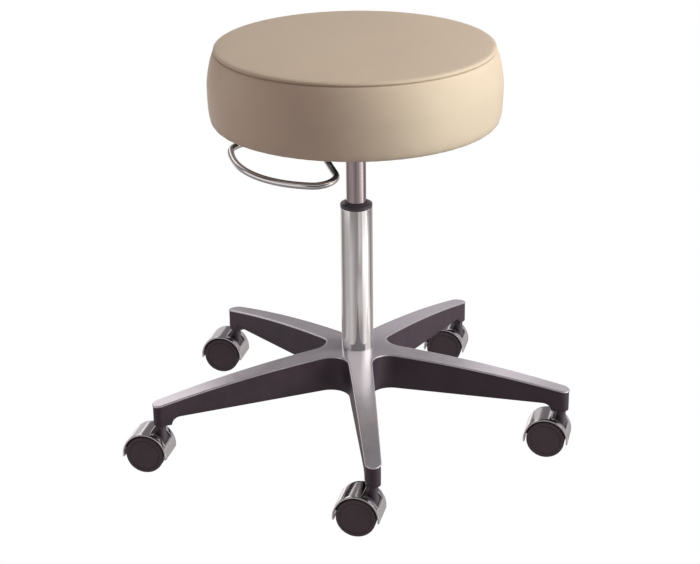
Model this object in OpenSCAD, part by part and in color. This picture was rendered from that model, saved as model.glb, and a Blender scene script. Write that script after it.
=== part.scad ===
// Exam stool: a round upholstered seat on a gas lift, a D-shaped release handle,
// a five-arm cast base and five hooded twin-wheel casters.
// The origin is on the floor under the column's axis. The front arm points along -Y.

/* [Casters] */
// Radius of each wheel
wheel_radius = 27; // [24:0.5:32]
// Width of each wheel
wheel_width = 16.6; // [13:0.1:20]
// Space between the two wheels of a caster
wheel_spacing = 13; // [12.5:0.1:17]
// Distance from the swivel axis back to the axle
caster_trail = 19; // [16:0.5:22]
// Gap between a wheel's tread and the inside of the hood
hood_gap = 2.4; // [2:0.1:4]
// Thickness of the hood
hood_wall = 2.4; // [1.5:0.1:3.5]
// How far the hood's ends reach below the axle's level, in degrees
hood_end_angle = 9; // [0:1:15]
// Length of the dark neck between the hood's top and the arm
neck_length = 8.2; // [6:0.1:14]
// Radius of the neck at its top
neck_radius = 6.4; // [6:0.1:8]
// Radius of the stem in the arm's socket
stem_radius = 5.5; // [5:0.1:6]
// Length of the stem in the arm's socket
stem_grip = 23; // [16:0.5:25]
// Radius of the axle
axle_radius = 3; // [2.5:0.1:4]
// Direction in which the casters trail at rest, in degrees from +X
caster_heading = 163.7; // [0:0.1:359.9]

/* [Base] */
// Distance from the column's axis to the end of an arm
arm_reach = 308; // [260:1:360]
// Height of an arm's end, from the socket's mouth to the polished top
tip_depth = 30.5; // [28:0.5:40]
// Rise of the polished top from an arm's end to the hub
arm_rise = 40; // [20:1:60]
// Width of an arm where it would meet the column's axis
arm_root_width = 36.6; // [33:0.2:44]
// Width of an arm at its rounded end
arm_tip_width = 22.2; // [20:0.2:28]
// Thickness of the polished top's edge
flange_edge = 2.3; // [1.5:0.1:4]
// How far the polished top stands proud of the dark sides
flange_proud = 0.8; // [0.4:0.1:1.5]
// Radius of the hollow curve between two arms at the hub
crotch_radius = 27; // [20:0.5:36]
// Depth of the dark side where an arm leaves the hub
side_depth = 55.5; // [50:0.5:66]
// Thickness of the arm's walls under the polished top
arm_wall = 4; // [3:0.1:6]

/* [Column] */
// Outer radius of the chromed column
column_radius = 22.6; // [21:0.1:25]
// Wall of the column
column_wall = 1.8; // [1.2:0.1:2.5]
// Length of the column above the hub
column_length = 211; // [190:1:260]
// Length of the guide bush in the column's mouth
bush_length = 90; // [60:1:100]
// Height of the side of the bush's cap, which stands on the column
cap_height = 4.5; // [3:0.1:6]
// Half angle of the column's tapered foot
foot_taper = 1.4; // [1:0.1:1.8]

/* [Gas lift] */
// Radius of the satin inner tube
cylinder_radius = 14; // [13:0.1:15]
// Wall of the inner tube
cylinder_wall = 1.5; // [1:0.1:2]
// Length of the inner tube seen between the column and the socket
cylinder_shown = 76.5; // [68:0.5:110]
// How far the seat goes down from rest
lift_down = 65; // [40:1:67]
// How far the seat goes up from rest
lift_up = 65; // [40:1:70]
// Radius of the piston rod
rod_radius = 5; // [4.5:0.1:6]

/* [Release handle] */
// Direction of the handle, in degrees from +X
handle_heading = -146.3; // [-180:0.1:180]
// Thickness of the handle's wire
handle_wire = 9.5; // [6:0.5:10]
// Distance from the lever's pin to the middle of the bow
handle_reach = 143.5; // [120:0.5:180]
// Half the width of the handle between its corners
handle_half_width = 126; // [100:1:150]
// Radius of the bow
bow_radius = 174; // [165:1:260]
// Radius of the handle's corners
handle_corner = 24; // [12:0.5:26]
// How far the handle hangs below level at rest, in degrees
handle_droop = 7.8; // [0:0.1:12]
// How far the handle is pulled up to release the lift, in degrees
handle_pull = 5; // [3:0.5:6]
// Distance from the column's axis to the lever's pin
pin_reach = 30; // [29:0.5:36]

/* [Seat] */
// Radius of the seat at its fullest
seat_radius = 202; // [180:0.1:230]
// Thickness of the seat from its underside to its crown
seat_depth = 107.5; // [85:1:130]
// How far the seam lies inside the fullest radius
seam_inset = 9.9; // [6:0.1:14]
// Drop from the crown to the seam
seam_drop = 9; // [7:0.1:14]
// Drop from the crown to the top panel's rolled edge
crown_drop = 3.2; // [1:0.1:5]
// Width of the top panel's rolled edge
roll_width = 7; // [5:0.5:12]
// How far the underside's flat ring lies inside the fullest radius
corner_inset = 9.6; // [7:0.1:20]
// Thickness of the vinyl cover
cover_thickness = 1.2; // [0.8:0.1:2]
// Width of the vinyl that is turned under the board
turn_under = 34; // [26:1:50]

/* [Seat board and mount] */
// Thickness of the plywood board
board_thickness = 15; // [12:0.5:19]
// How far the board lies inside the fullest radius
board_inset = 17.4; // [14:0.2:24]
// Distance from the mount plate's screws to its edges
plate_margin = 15; // [12:0.5:25]
// Thickness of the mount plate
plate_thickness = 3; // [2.5:0.1:4]
// Distance between the mount plate's screws
screw_spacing = 120; // [100:1:124]
// Radius of the mount screws
screw_radius = 3; // [2.5:0.1:4]
// Length of the socket tube under the mount plate
socket_length = 50.2; // [46:0.1:60]
// Wall of the socket tube at its mouth
socket_wall = 5; // [3:0.1:6]

/* [Hidden] */
positions = ["front", "front_left", "rear_left", "rear_right", "front_right"];

$fn = 64;
fine_fn = 128;

// Clearances and overruns
cut_overrun = 1;
press_gap = 0.05;
running_gap = 0.05;
side_gap = 0.3;
seating_gap = 0.1;
stop_gap = 0.3;

// Base
arm_count = 5;
arm_step = 360 / arm_count;
front_heading = -90;
arm_straight_share = 0.35;
arch_steps = 14;
tip_radius = arm_tip_width / 2;
stem_reach = arm_reach - tip_radius;
socket_mouth_z = 2 * wheel_radius + hood_gap + hood_wall + neck_length;
tip_top_z = socket_mouth_z + tip_depth;
hub_top_z = tip_top_z + arm_rise;
side_bottom_z = hub_top_z - side_depth;
side_fall = 4;
socket_step_width = 12;
socket_step_steps = 4;
socket_block = 24;
socket_end_gap = 2;
socket_depth = stem_grip + socket_end_gap;
hub_wall = 8;
rib_thickness = 3;
rib_depth = 14;
rib_shares = [0.28, 0.5, 0.72];
arm_narrowing = (arm_root_width / 2 - tip_radius) / stem_reach;

// Column and its foot
column_top_z = hub_top_z + column_length;
foot_proud = 8;
column_bottom_z = side_bottom_z - foot_proud;
foot_drop = hub_top_z - column_bottom_z;
foot_radius = column_radius - foot_drop * tan(foot_taper);
foot_bore = foot_radius - column_wall;
rim_round = 0.8;
cap_dome = 3.2;
cap_lip = 1.6;
bottom_plate_thickness = 3;
bottom_plate_recess = 2;
bottom_plate_z = column_bottom_z + bottom_plate_recess;

// Thrust bearing and rod, from the bottom plate upwards
race_thickness = 2;
race_radius = 13;
ball_radius = 2;
ball_circle = 9;
ball_count = 9;
ball_gap = 0.02;
rod_shoulder = 1;
rod_neck = rod_radius - rod_shoulder;
rod_tail = 1;
clip_thickness = 1.4;
clip_radius = 8;
clip_groove = 0.8;
clip_z = bottom_plate_z - stop_gap - clip_thickness;
lower_race_z = bottom_plate_z + bottom_plate_thickness;
ball_z = lower_race_z + race_thickness + ball_radius + ball_gap;
upper_race_z = ball_z + ball_radius + ball_gap;
rod_shoulder_z = upper_race_z + race_thickness;
bump_length = 12;
bump_radius = 11;
bump_top_z = rod_shoulder_z + bump_length;
rod_spigot = 3.5;

// Gas cylinder
cylinder_bottom_z = bump_top_z + stop_gap + lift_down;
socket_bottom_z = column_top_z + cylinder_shown;
cone_length = 39.4;
cone_half_angle = 1.4;
cylinder_top_z = socket_bottom_z + cone_length;
cone_top_radius = cylinder_radius - (cylinder_top_z - socket_bottom_z) * tan(cone_half_angle);
cylinder_cap = 4;
cylinder_bore = cylinder_radius - cylinder_wall;
end_length = 20;
piston_z = cylinder_bottom_z + lift_up + end_length + stop_gap;
piston_length = 14;
valve_radius = 2.5;
valve_length = 24;
button_radius = 4.5;

// Mount plate and socket
plate_bottom_z = socket_bottom_z + socket_length;
plate_size = screw_spacing + 2 * plate_margin;
plate_corner = 12;
plate_lip = 10;
plate_centre_hole = 9;
ear_thickness = 2.5;
ear_half_gap = 13.5;
ear_radius = 9;
pin_radius = 3;
pin_drop = 21.2;
pin_z = plate_bottom_z - pin_drop;
pin_half_length = 19;
pin_clip_thickness = 1;
window_half_width = 12;
window_drop = 9.5;
socket_radius = cylinder_radius + socket_wall;

// Release lever
lever_gap = 0.5;
lever_thickness = 3;
lever_half_width = 10;
lever_end = 5;
lever_crank = 10;
lever_barrel = 6.2;
lever_foot = 4.6;
web_half_height = 2;
web_half_width = 9;
nub_radius = 1.2;
nub_drop = 0.6;
block_start = 12;
block_length = 15;
block_half_height = 6.5;
block_half_width = 18;
leg_half_spacing = 11;
leg_start = 14;
leg_straight = 17;
leg_bend = 12;
handle_plane = -4;
wire_overlap = 0.4;
wire_step = 0.03;
wire_radius = handle_wire / 2;
arm_top_z = plate_bottom_z - lever_gap;
press_depth = pin_reach * handle_pull * PI / 180;
button_top_z = arm_top_z - lever_thickness - nub_drop - stop_gap;
button_foot_z = cylinder_top_z + press_depth + stop_gap;

// Seat
board_bottom_z = plate_bottom_z + plate_thickness;
board_radius = seat_radius - board_inset;
board_top_z = board_bottom_z + board_thickness;
seat_bottom_z = board_bottom_z - cover_thickness;
crown_z = seat_bottom_z + seat_depth;
seam_radius = seat_radius - seam_inset;
seam_z = crown_z - seam_drop;
seam_tuck = 1.4;
roll_proud = 0.6;
flat_radius = 60;
bulge_share = 0.49;
crown_steps = 8;
roll_steps = 8;
band_steps = 12;
corner_steps = 16;
turn_edge = seat_radius - corner_inset - turn_under;
vent_radius = 9;
vent_count = 4;
vent_circle = 130;
staple_count = 40;
staple_inset = 12;
staple_circle = turn_edge + staple_inset;
staple_width = 11;
staple_wire = 0.9;
staple_leg = 7;
staple_gap = 0.05;
nut_flange_radius = 9;
nut_flange = 1.4;
nut_barrel = 4.8;
nut_length = 11;
head_height = 4;
head_radius = 5.8;
washer_radius = 8;
washer_thickness = 1.2;
screw_length = 12;

// Casters
hood_inner = wheel_radius + hood_gap;
hood_outer = hood_inner + hood_wall;
wheel_inner_face = wheel_spacing / 2;
wheel_outer_face = wheel_inner_face + wheel_width;
hood_overlap = 0.5;
hood_half_width = wheel_outer_face + hood_overlap;
hood_edge = 0.8;
opening_ahead = 11.5;
opening_behind = 8;
opening_half_width = 14.5;
body_half_width = wheel_inner_face - side_gap;
shield_lap = 2;
body_radius = hood_inner - seating_gap;
tread_gap = 0.7;
shield_inner = wheel_radius + tread_gap;
axle_boss = 8;
stem_foot = 4;
stem_wall = 2.4;
stem_foot_rise = 6;
stem_foot_z = wheel_radius + stem_foot_rise;
collar_radius = 7.6;
axle_bore_depth = 11;
stem_chamfer = 0.8;
ring_height = 4;
ring_proud = 0.05;
wheel_round = 1.6;
wheel_dish = 1;
wheel_groove_share = 0.8;
wheel_groove = 1.3;
wheel_rim_share = 0.86;
wheel_recess = 5;
wheel_hub = 7;

// A cubic curve through four control points
function curve_point(p, t) =
    pow(1 - t, 3) * p[0] + 3 * pow(1 - t, 2) * t * p[1] + 3 * (1 - t) * t * t * p[2] + pow(t, 3) * p[3];
function curve(p, steps) = [for (i = [0 : steps]) curve_point(p, i / steps)];
function reversed(list) = [for (i = [len(list) - 1 : -1 : 0]) list[i]];
function without_first(list) = [for (i = [1 : len(list) - 1]) list[i]];
function heading(i) = front_heading - i * arm_step;

// A turned piece from a list of [radius, height] points
module turned(points) {
    rotate_extrude($fn = fine_fn) polygon(points);
}

// A round bar along Z between two heights
module bar(radius, from_z, to_z) {
    translate([0, 0, from_z]) cylinder(r = radius, h = to_z - from_z);
}

// A ring along Z between two heights
module ring(outer, inner, from_z, to_z) {
    difference() {
        bar(outer, from_z, to_z);
        bar(inner, from_z - cut_overrun, to_z + cut_overrun);
    }
}

// Seat

// The cover's outline from the axis to the seam, drawn inwards by inset
function top_edge(inset) = concat(
    [[0, crown_z - inset]],
    [for (i = [0 : crown_steps])
        let (share = i / crown_steps, reach = seam_radius - roll_width - flat_radius)
        [flat_radius + share * reach, crown_z - inset - crown_drop * share * share]],
    without_first(curve([
        [seam_radius - roll_width, crown_z - inset - crown_drop],
        [seam_radius + roll_proud - inset, crown_z - inset - crown_drop - roll_proud],
        [seam_radius + roll_proud - inset, seam_z + roll_width / 4],
        [seam_radius - seam_tuck - inset, seam_z]], roll_steps)));

// The cover's outline from the seam to the underside, drawn inwards by inset
function band_edge(inset) =
    let (fullest = seat_radius - inset,
         seam = seam_radius - seam_tuck - inset,
         bulge_z = seat_bottom_z + seat_depth * bulge_share,
         bottom_z = seat_bottom_z + inset,
         flat_edge = seat_radius - corner_inset - inset)
    concat(
        curve([[seam, seam_z], [seam + seam_inset / 2, seam_z - seam_tuck],
               [fullest, bulge_z + (seam_z - bulge_z) / 4], [fullest, bulge_z]], band_steps),
        without_first(curve([[fullest, bulge_z], [fullest, bottom_z + (bulge_z - bottom_z) / 7],
               [flat_edge + corner_inset * 2 / 3, bottom_z], [flat_edge, bottom_z]], corner_steps)));

module cover_top() {
    color([0.76, 0.69, 0.58])
        turned(concat(top_edge(0), reversed(top_edge(cover_thickness))));
}

module cover_band() {
    color([0.74, 0.66, 0.54])
        difference() {
            turned(concat(band_edge(0), [[turn_edge, seat_bottom_z],
                                         [turn_edge, seat_bottom_z + cover_thickness]],
                          reversed(band_edge(cover_thickness))));
            staple_legs(staple_gap);
        }
}

module seat_foam() {
    inset = cover_thickness + seating_gap;
    color([0.95, 0.9, 0.7])
        turned(concat(top_edge(inset), without_first(band_edge(inset)),
                      [[board_radius + seating_gap, seat_bottom_z + inset],
                       [board_radius + seating_gap, board_top_z + seating_gap],
                       [0, board_top_z + seating_gap]]));
}

module at_screws() {
    rotate([0, 0, handle_heading])
        for (x = [-1, 1], y = [-1, 1])
            translate([x * screw_spacing / 2, y * screw_spacing / 2, 0]) children();
}

module seat_board() {
    color([0.78, 0.62, 0.42])
        difference() {
            bar(board_radius, board_bottom_z, board_top_z);
            for (i = [0 : vent_count - 1])
                rotate([0, 0, handle_heading + i * 360 / vent_count])
                    translate([vent_circle, 0, 0])
                        bar(vent_radius, board_bottom_z - cut_overrun, board_top_z + cut_overrun);
            at_screws() {
                bar(nut_barrel + press_gap, board_bottom_z - cut_overrun, board_top_z + cut_overrun);
                bar(nut_flange_radius + press_gap, board_top_z - nut_flange, board_top_z + cut_overrun);
            }
            staple_legs(staple_gap);
        }
}

module tee_nuts() {
    color("silver")
        at_screws()
            difference() {
                union() {
                    bar(nut_flange_radius, board_top_z - nut_flange, board_top_z);
                    bar(nut_barrel, board_top_z - nut_length, board_top_z);
                }
                bar(screw_radius + press_gap,
                    board_top_z - nut_length - cut_overrun, board_top_z + cut_overrun);
            }
}

module mount_screws() {
    color("gainsboro")
        at_screws() {
            bar(screw_radius, plate_bottom_z, board_bottom_z + screw_length);
            bar(washer_radius, plate_bottom_z - washer_thickness, plate_bottom_z);
            translate([0, 0, plate_bottom_z - washer_thickness - head_height])
                cylinder(r = head_radius, h = head_height, $fn = 6);
        }
}

module at_staples() {
    for (i = [0 : staple_count - 1])
        rotate([0, 0, i * 360 / staple_count])
            translate([staple_circle, 0, seat_bottom_z - staple_wire]) children();
}

// The staples' legs, or with a gap the slits that they make
module staple_legs(gap) {
    side = staple_wire + 2 * gap;
    at_staples()
        for (y = [-1, 1])
            translate([-side / 2, y * (staple_width - staple_wire) / 2 - side / 2, 0])
                cube([side, side, staple_leg + gap]);
}

module cover_staples() {
    color("silver") {
        at_staples()
            translate([-staple_wire / 2, -staple_width / 2, 0])
                cube([staple_wire, staple_width, staple_wire]);
        staple_legs(0);
    }
}

// Mount plate and socket

module in_handle_line() {
    rotate([0, 0, handle_heading]) children();
}

module rounded_square(side, corner) {
    square([side - 2 * corner, side], center = true);
    square([side, side - 2 * corner], center = true);
    for (x = [-1, 1], y = [-1, 1])
        translate([x, y] * (side / 2 - corner)) circle(r = corner);
}

// One ear of the mount plate, as an outline in the handle's line
module ear_outline() {
    translate([pin_reach, pin_z]) circle(r = ear_radius);
    translate([pin_reach - ear_radius, pin_z]) square([2 * ear_radius, plate_bottom_z - pin_z]);
}

module mount_plate() {
    color([0.12, 0.12, 0.13])
        in_handle_line()
            difference() {
                union() {
                    translate([0, 0, plate_bottom_z])
                        linear_extrude(plate_thickness) rounded_square(plate_size, plate_corner);
                    for (side = [-1, 1])
                        translate([0, side * (plate_size - plate_thickness) / 2,
                                   plate_bottom_z - plate_lip / 2])
                            cube([plate_size - 2 * plate_corner, plate_thickness, plate_lip], center = true);
                    for (side = [-1, 1])
                        translate([0, side * (ear_half_gap + ear_thickness / 2) + ear_thickness / 2, 0])
                            rotate([90, 0, 0]) linear_extrude(ear_thickness) ear_outline();
                }
                for (x = [-1, 1], y = [-1, 1])
                    translate([x * screw_spacing / 2, y * screw_spacing / 2, 0])
                        bar(screw_radius + side_gap,
                            plate_bottom_z - cut_overrun, board_bottom_z + cut_overrun);
                bar(plate_centre_hole, plate_bottom_z - cut_overrun, board_bottom_z + cut_overrun);
                translate([pin_reach, 0, pin_z]) rotate([90, 0, 0])
                    cylinder(r = pin_radius + press_gap / 2, h = 2 * pin_half_length, center = true);
            }
}

module taper_socket() {
    top_bore = cone_top_radius + press_gap;
    color([0.2, 0.2, 0.22])
        difference() {
            turned([[cylinder_radius + press_gap, socket_bottom_z], [socket_radius, socket_bottom_z],
                    [socket_radius, plate_bottom_z], [top_bore, plate_bottom_z],
                    [top_bore, cylinder_top_z]]);
            in_handle_line()
                translate([0, -window_half_width, plate_bottom_z - window_drop])
                    cube([socket_radius + cut_overrun, 2 * window_half_width, window_drop + cut_overrun]);
        }
}

module along_pin() {
    in_handle_line() translate([pin_reach, 0, pin_z]) rotate([90, 0, 0]) children();
}

module lever_pin() {
    color("silver")
        along_pin()
            difference() {
                cylinder(r = pin_radius, h = 2 * pin_half_length, center = true);
                for (side = [-1, 1])
                    translate([0, 0, side * clip_place()])
                        difference() {
                            cylinder(r = pin_radius + cut_overrun, h = pin_clip_thickness, center = true);
                            cylinder(r = pin_radius - clip_groove,
                                     h = pin_clip_thickness + cut_overrun, center = true);
                        }
            }
}

function clip_place() = ear_half_gap + ear_thickness + stop_gap + pin_clip_thickness / 2;

module pin_clips() {
    color("dimgray")
        along_pin()
            for (side = [-1, 1])
                translate([0, 0, side * clip_place()])
                    difference() {
                        cylinder(r = 2 * pin_radius, h = pin_clip_thickness, center = true);
                        cylinder(r = pin_radius - clip_groove + press_gap,
                                 h = pin_clip_thickness + cut_overrun, center = true);
                    }
}

// Release lever and handle

// The lever's arm in the handle's line, from over the button to the pin
module lever_arm_outline() {
    polygon([[-lever_end, arm_top_z - lever_thickness], [-lever_end, arm_top_z],
             [pin_reach - lever_crank, arm_top_z], [pin_reach + lever_foot, pin_z],
             [pin_reach - lever_foot, pin_z],
             [pin_reach - lever_crank - lever_thickness / 2, arm_top_z - lever_thickness]]);
    translate([pin_reach, pin_z]) circle(r = lever_barrel);
    translate([0, arm_top_z - lever_thickness - nub_drop + nub_radius]) circle(r = nub_radius);
}

module in_handle_frame() {
    in_handle_line() translate([pin_reach, 0, pin_z]) rotate([0, handle_droop, 0]) children();
}

module release_lever() {
    color([0.15, 0.15, 0.16])
        difference() {
            union() {
                in_handle_line()
                    translate([0, lever_half_width, 0])
                        rotate([90, 0, 0]) linear_extrude(2 * lever_half_width) lever_arm_outline();
                in_handle_frame() {
                    translate([0, -web_half_width, handle_plane - web_half_height])
                        cube([block_start + block_length / 2, 2 * web_half_width, 2 * web_half_height]);
                    translate([block_start, -block_half_width, handle_plane - block_half_height])
                        cube([block_length, 2 * block_half_width, 2 * block_half_height]);
                }
            }
            along_pin() cylinder(r = pin_radius + running_gap, h = 4 * pin_half_length, center = true);
            in_handle_frame()
                for (side = [-1, 1])
                    translate([leg_start - wire_overlap - press_gap, side * leg_half_spacing, handle_plane])
                        rotate([0, 90, 0])
                            cylinder(r = wire_radius + press_gap, h = block_start + block_length);
        }
}

// The handle's plan in its own plane: the bow's centre, a corner, the leg's line and the fillet
bow_centre = handle_reach - bow_radius;
corner_point = [bow_centre + sqrt(pow(bow_radius, 2) - pow(handle_half_width, 2)), handle_half_width];
bend_centre = [leg_start + leg_straight, leg_half_spacing + leg_bend];
to_corner = corner_point - bend_centre;
leg_angle = atan2(to_corner[1], to_corner[0]) + asin(leg_bend / norm(to_corner));
leg_line = [cos(leg_angle), sin(leg_angle)];
leg_inward = [sin(leg_angle), -cos(leg_angle)];
leg_from = bend_centre + leg_bend * leg_inward;
fillet_offset = leg_from + handle_corner * leg_inward - [bow_centre, 0];
leg_length = sqrt(pow(fillet_offset * leg_line, 2) - fillet_offset * fillet_offset
                  + pow(bow_radius - handle_corner, 2)) - fillet_offset * leg_line;
fillet_centre = leg_from + leg_length * leg_line + handle_corner * leg_inward;
bow_half_angle = atan2(fillet_centre[1], fillet_centre[0] - bow_centre);

// A round bend of the wire: centre, radius, and first and last angle
module wire_bend(centre, radius, first, last) {
    translate([centre[0], centre[1], 0]) rotate([0, 0, first])
        rotate_extrude(angle = last - first, $fn = fine_fn)
            translate([radius, 0]) circle(r = wire_radius, $fn = 32);
}

// A straight run of the wire, which reaches a little way into the bends at its ends
module wire_run(start, angle, length) {
    translate([start[0], start[1], 0]) rotate([0, 0, angle]) rotate([0, 90, 0])
        translate([0, 0, -wire_overlap])
            cylinder(r = wire_radius - wire_step, h = length + 2 * wire_overlap, $fn = 32);
}

module handle_side() {
    wire_run([leg_start, leg_half_spacing], 0, leg_straight);
    wire_bend(bend_centre, leg_bend, -90, leg_angle - 90);
    wire_run(leg_from, leg_angle, leg_length);
    wire_bend(fillet_centre, handle_corner, bow_half_angle, leg_angle + 90);
}

module bow() {
    half_angle = bow_half_angle + wire_overlap / bow_radius * 180 / PI;
    translate([bow_centre, 0, 0]) rotate([0, 0, -half_angle])
        rotate_extrude(angle = 2 * half_angle, $fn = 2 * fine_fn)
            translate([bow_radius, 0]) circle(r = wire_radius - wire_step, $fn = 32);
}

module handle() {
    color([0.85, 0.86, 0.88])
        in_handle_frame() translate([0, 0, handle_plane]) {
            handle_side();
            mirror([0, 1, 0]) handle_side();
            bow();
        }
}

// Gas lift

module release_button() {
    color([0.5, 0.1, 0.1])
        turned([[0, cylinder_top_z - valve_length], [valve_radius, cylinder_top_z - valve_length],
                [valve_radius, button_foot_z], [button_radius, button_foot_z],
                [button_radius, button_top_z - stem_chamfer], [button_radius - stem_chamfer, button_top_z],
                [0, button_top_z]]);
}

module gas_cylinder() {
    color([0.72, 0.7, 0.7])
        turned([[cylinder_bore, cylinder_bottom_z], [cylinder_radius, cylinder_bottom_z],
                [cylinder_radius, socket_bottom_z], [cone_top_radius, cylinder_top_z],
                [valve_radius + running_gap, cylinder_top_z],
                [valve_radius + running_gap, cylinder_top_z - cylinder_cap],
                [cone_top_radius - 2 * cylinder_wall, cylinder_top_z - cylinder_cap],
                [cylinder_bore, socket_bottom_z]]);
}

module cylinder_end() {
    color([0.1, 0.1, 0.1])
        ring(cylinder_bore - press_gap, rod_radius + running_gap,
             cylinder_bottom_z, cylinder_bottom_z + end_length);
}

module piston() {
    color([0.35, 0.35, 0.38])
        ring(cylinder_bore - running_gap, rod_spigot + press_gap, piston_z, piston_z + piston_length);
}

module piston_rod() {
    color([0.8, 0.8, 0.82])
        turned([[0, column_bottom_z - rod_tail], [rod_neck, column_bottom_z - rod_tail], [rod_neck, clip_z],
                [rod_neck - clip_groove, clip_z], [rod_neck - clip_groove, clip_z + clip_thickness],
                [rod_neck, clip_z + clip_thickness], [rod_neck, rod_shoulder_z],
                [rod_radius, rod_shoulder_z], [rod_radius, piston_z], [rod_spigot, piston_z],
                [rod_spigot, piston_z + piston_length + stem_chamfer],
                [0, piston_z + piston_length + stem_chamfer]]);
}

module rod_clip() {
    color("dimgray")
        ring(clip_radius, rod_neck - clip_groove + press_gap, clip_z, clip_z + clip_thickness);
}

module bump_stop() {
    color([0.08, 0.08, 0.08])
        ring(bump_radius, rod_radius + press_gap, rod_shoulder_z, bump_top_z);
}

module bearing_upper_race() {
    color("silver")
        ring(race_radius, rod_neck + press_gap, upper_race_z, rod_shoulder_z);
}

module bearing_balls() {
    color("gainsboro")
        for (i = [0 : ball_count - 1])
            rotate([0, 0, i * 360 / ball_count])
                translate([ball_circle, 0, ball_z]) sphere(r = ball_radius, $fn = 32);
}

module bearing_lower_race() {
    color("silver")
        ring(race_radius, rod_radius + side_gap, lower_race_z, lower_race_z + race_thickness);
}

module column_bottom_plate() {
    plate_radius = foot_bore - press_gap;
    color([0.3, 0.3, 0.32])
        ring(plate_radius, rod_radius + side_gap, bottom_plate_z, bottom_plate_z + bottom_plate_thickness);
}

module guide_bush() {
    bush_radius = column_radius - column_wall - press_gap;
    bore = cylinder_radius + running_gap;
    color([0.13, 0.13, 0.14])
        turned([[bore, column_top_z - bush_length], [bush_radius, column_top_z - bush_length],
                [bush_radius, column_top_z], [column_radius, column_top_z],
                [column_radius, column_top_z + cap_height],
                [bore + cap_lip, column_top_z + cap_height + cap_dome],
                [bore, column_top_z + cap_height + cap_dome]]);
}

module column_tube() {
    bore = column_radius - column_wall;
    color([0.8, 0.81, 0.83])
        turned([[foot_bore, column_bottom_z], [foot_radius, column_bottom_z], [column_radius, hub_top_z],
                [column_radius, column_top_z - rim_round], [column_radius - rim_round, column_top_z],
                [bore + rim_round / 2, column_top_z], [bore, column_top_z - rim_round / 2],
                [bore, hub_top_z], [foot_bore, bottom_plate_z + bottom_plate_thickness]]);
}

// Base casting

// Height of the polished top at a distance from the axis
function arm_top(r) =
    let (share = r / arm_reach)
    hub_top_z - arm_rise * (arm_straight_share * share + (1 - arm_straight_share) * share * share);
function arm_half_width(r, inset) = arm_root_width / 2 - arm_narrowing * r - inset;
function arch(drop, from_r, to_r) =
    [for (i = [0 : arch_steps]) let (r = from_r + (to_r - from_r) * i / arch_steps) [r, arm_top(r) - drop]];

// The plan of one arm, drawn inwards by inset
module arm_plan(inset, from_r) {
    polygon([[from_r, -arm_half_width(from_r, inset)], [stem_reach, -tip_radius + inset],
             [stem_reach, tip_radius - inset], [from_r, arm_half_width(from_r, inset)]]);
    translate([stem_reach, 0]) circle(r = tip_radius - inset);
}

// The plan between two arms at the hub, with its hollow curve
module crotch_plan(inset) {
    side_angle = arm_step / 2 + atan(arm_narrowing);
    curve_radius = crotch_radius + inset;
    centre = (arm_half_width(0, inset) * cos(atan(arm_narrowing)) + curve_radius) / sin(side_angle);
    touch = centre * cos(side_angle);
    difference() {
        polygon([[0, 0], touch * [cos(side_angle), sin(side_angle)]
                         + arm_half_width(0, inset) * [sin(side_angle), -cos(side_angle)],
                 [centre, 0], touch * [cos(side_angle), -sin(side_angle)]
                         + arm_half_width(0, inset) * [sin(side_angle), cos(side_angle)]]);
        translate([centre, 0]) circle(r = curve_radius);
    }
}

module base_plan(inset) {
    for (i = [0 : arm_count - 1]) {
        rotate([0, 0, heading(i)]) arm_plan(inset, 0);
        rotate([0, 0, heading(i) + arm_step / 2]) crotch_plan(inset);
    }
}

module base_prism(inset) {
    translate([0, 0, column_bottom_z]) linear_extrude(hub_top_z) base_plan(inset);
}

// The dark sides' underside, from the hub to the socket block at the arm's end
function underside() =
    let (step_r = arm_reach - socket_block - socket_step_width)
    concat([[0, side_bottom_z], [column_radius + hub_wall, side_bottom_z]],
           [for (i = [0 : socket_step_steps])
               let (angle = 90 * i / socket_step_steps)
               [step_r + socket_step_width * sin(angle),
                socket_mouth_z + (side_bottom_z - side_fall - socket_mouth_z) * cos(angle)]],
           [[arm_reach + cut_overrun, socket_mouth_z]]);

module arm_hollow() {
    from_r = column_radius + hub_wall;
    to_r = arm_reach - socket_block;
    inset = flange_proud + arm_wall;
    roof = flange_edge + arm_wall;
    for (i = [0 : arm_count - 1])
        rotate([0, 0, heading(i)])
            difference() {
                intersection() {
                    translate([0, 0, socket_mouth_z - cut_overrun])
                        linear_extrude(hub_top_z)
                            polygon([[from_r, -arm_half_width(from_r, inset)],
                                     [to_r, -arm_half_width(to_r, inset)],
                                     [to_r, arm_half_width(to_r, inset)],
                                     [from_r, arm_half_width(from_r, inset)]]);
                    turned(concat([[0, 0]], arch(roof, 0, arm_reach), [[arm_reach, 0]]));
                }
                for (share = rib_shares)
                    let (rib_r = from_r + (to_r - from_r) * share)
                        translate([rib_r, -arm_root_width, arm_top(rib_r) - roof - rib_depth])
                            cube([rib_thickness, 2 * arm_root_width, hub_top_z]);
            }
}

module base_casting() {
    color([0.62, 0.61, 0.63])
        difference() {
            union() {
                intersection() {
                    base_prism(0);
                    turned(concat(arch(0, 0, arm_reach + cut_overrun),
                                  reversed(arch(flange_edge, 0, arm_reach + cut_overrun))));
                }
                intersection() {
                    base_prism(flange_proud);
                    turned(concat(arch(flange_edge, 0, arm_reach + cut_overrun), reversed(underside())));
                }
            }
            arm_hollow();
            turned([[0, column_bottom_z], [foot_radius + press_gap, column_bottom_z],
                    [column_radius + press_gap, hub_top_z],
                    [column_radius + press_gap, hub_top_z + cut_overrun],
                    [0, hub_top_z + cut_overrun]]);
            for (i = [0 : arm_count - 1])
                at_stem(i)
                    bar(stem_radius + seating_gap, socket_mouth_z - cut_overrun, socket_mouth_z + socket_depth);
        }
}

// Casters

module at_stem(i) {
    rotate([0, 0, heading(i)]) translate([stem_reach, 0, 0]) children();
}

// The caster's own frame: the stem's axis is Z and the axle lies along +X from it
module at_caster(i) {
    at_stem(i) rotate([0, 0, caster_heading - heading(i)]) children();
}

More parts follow.
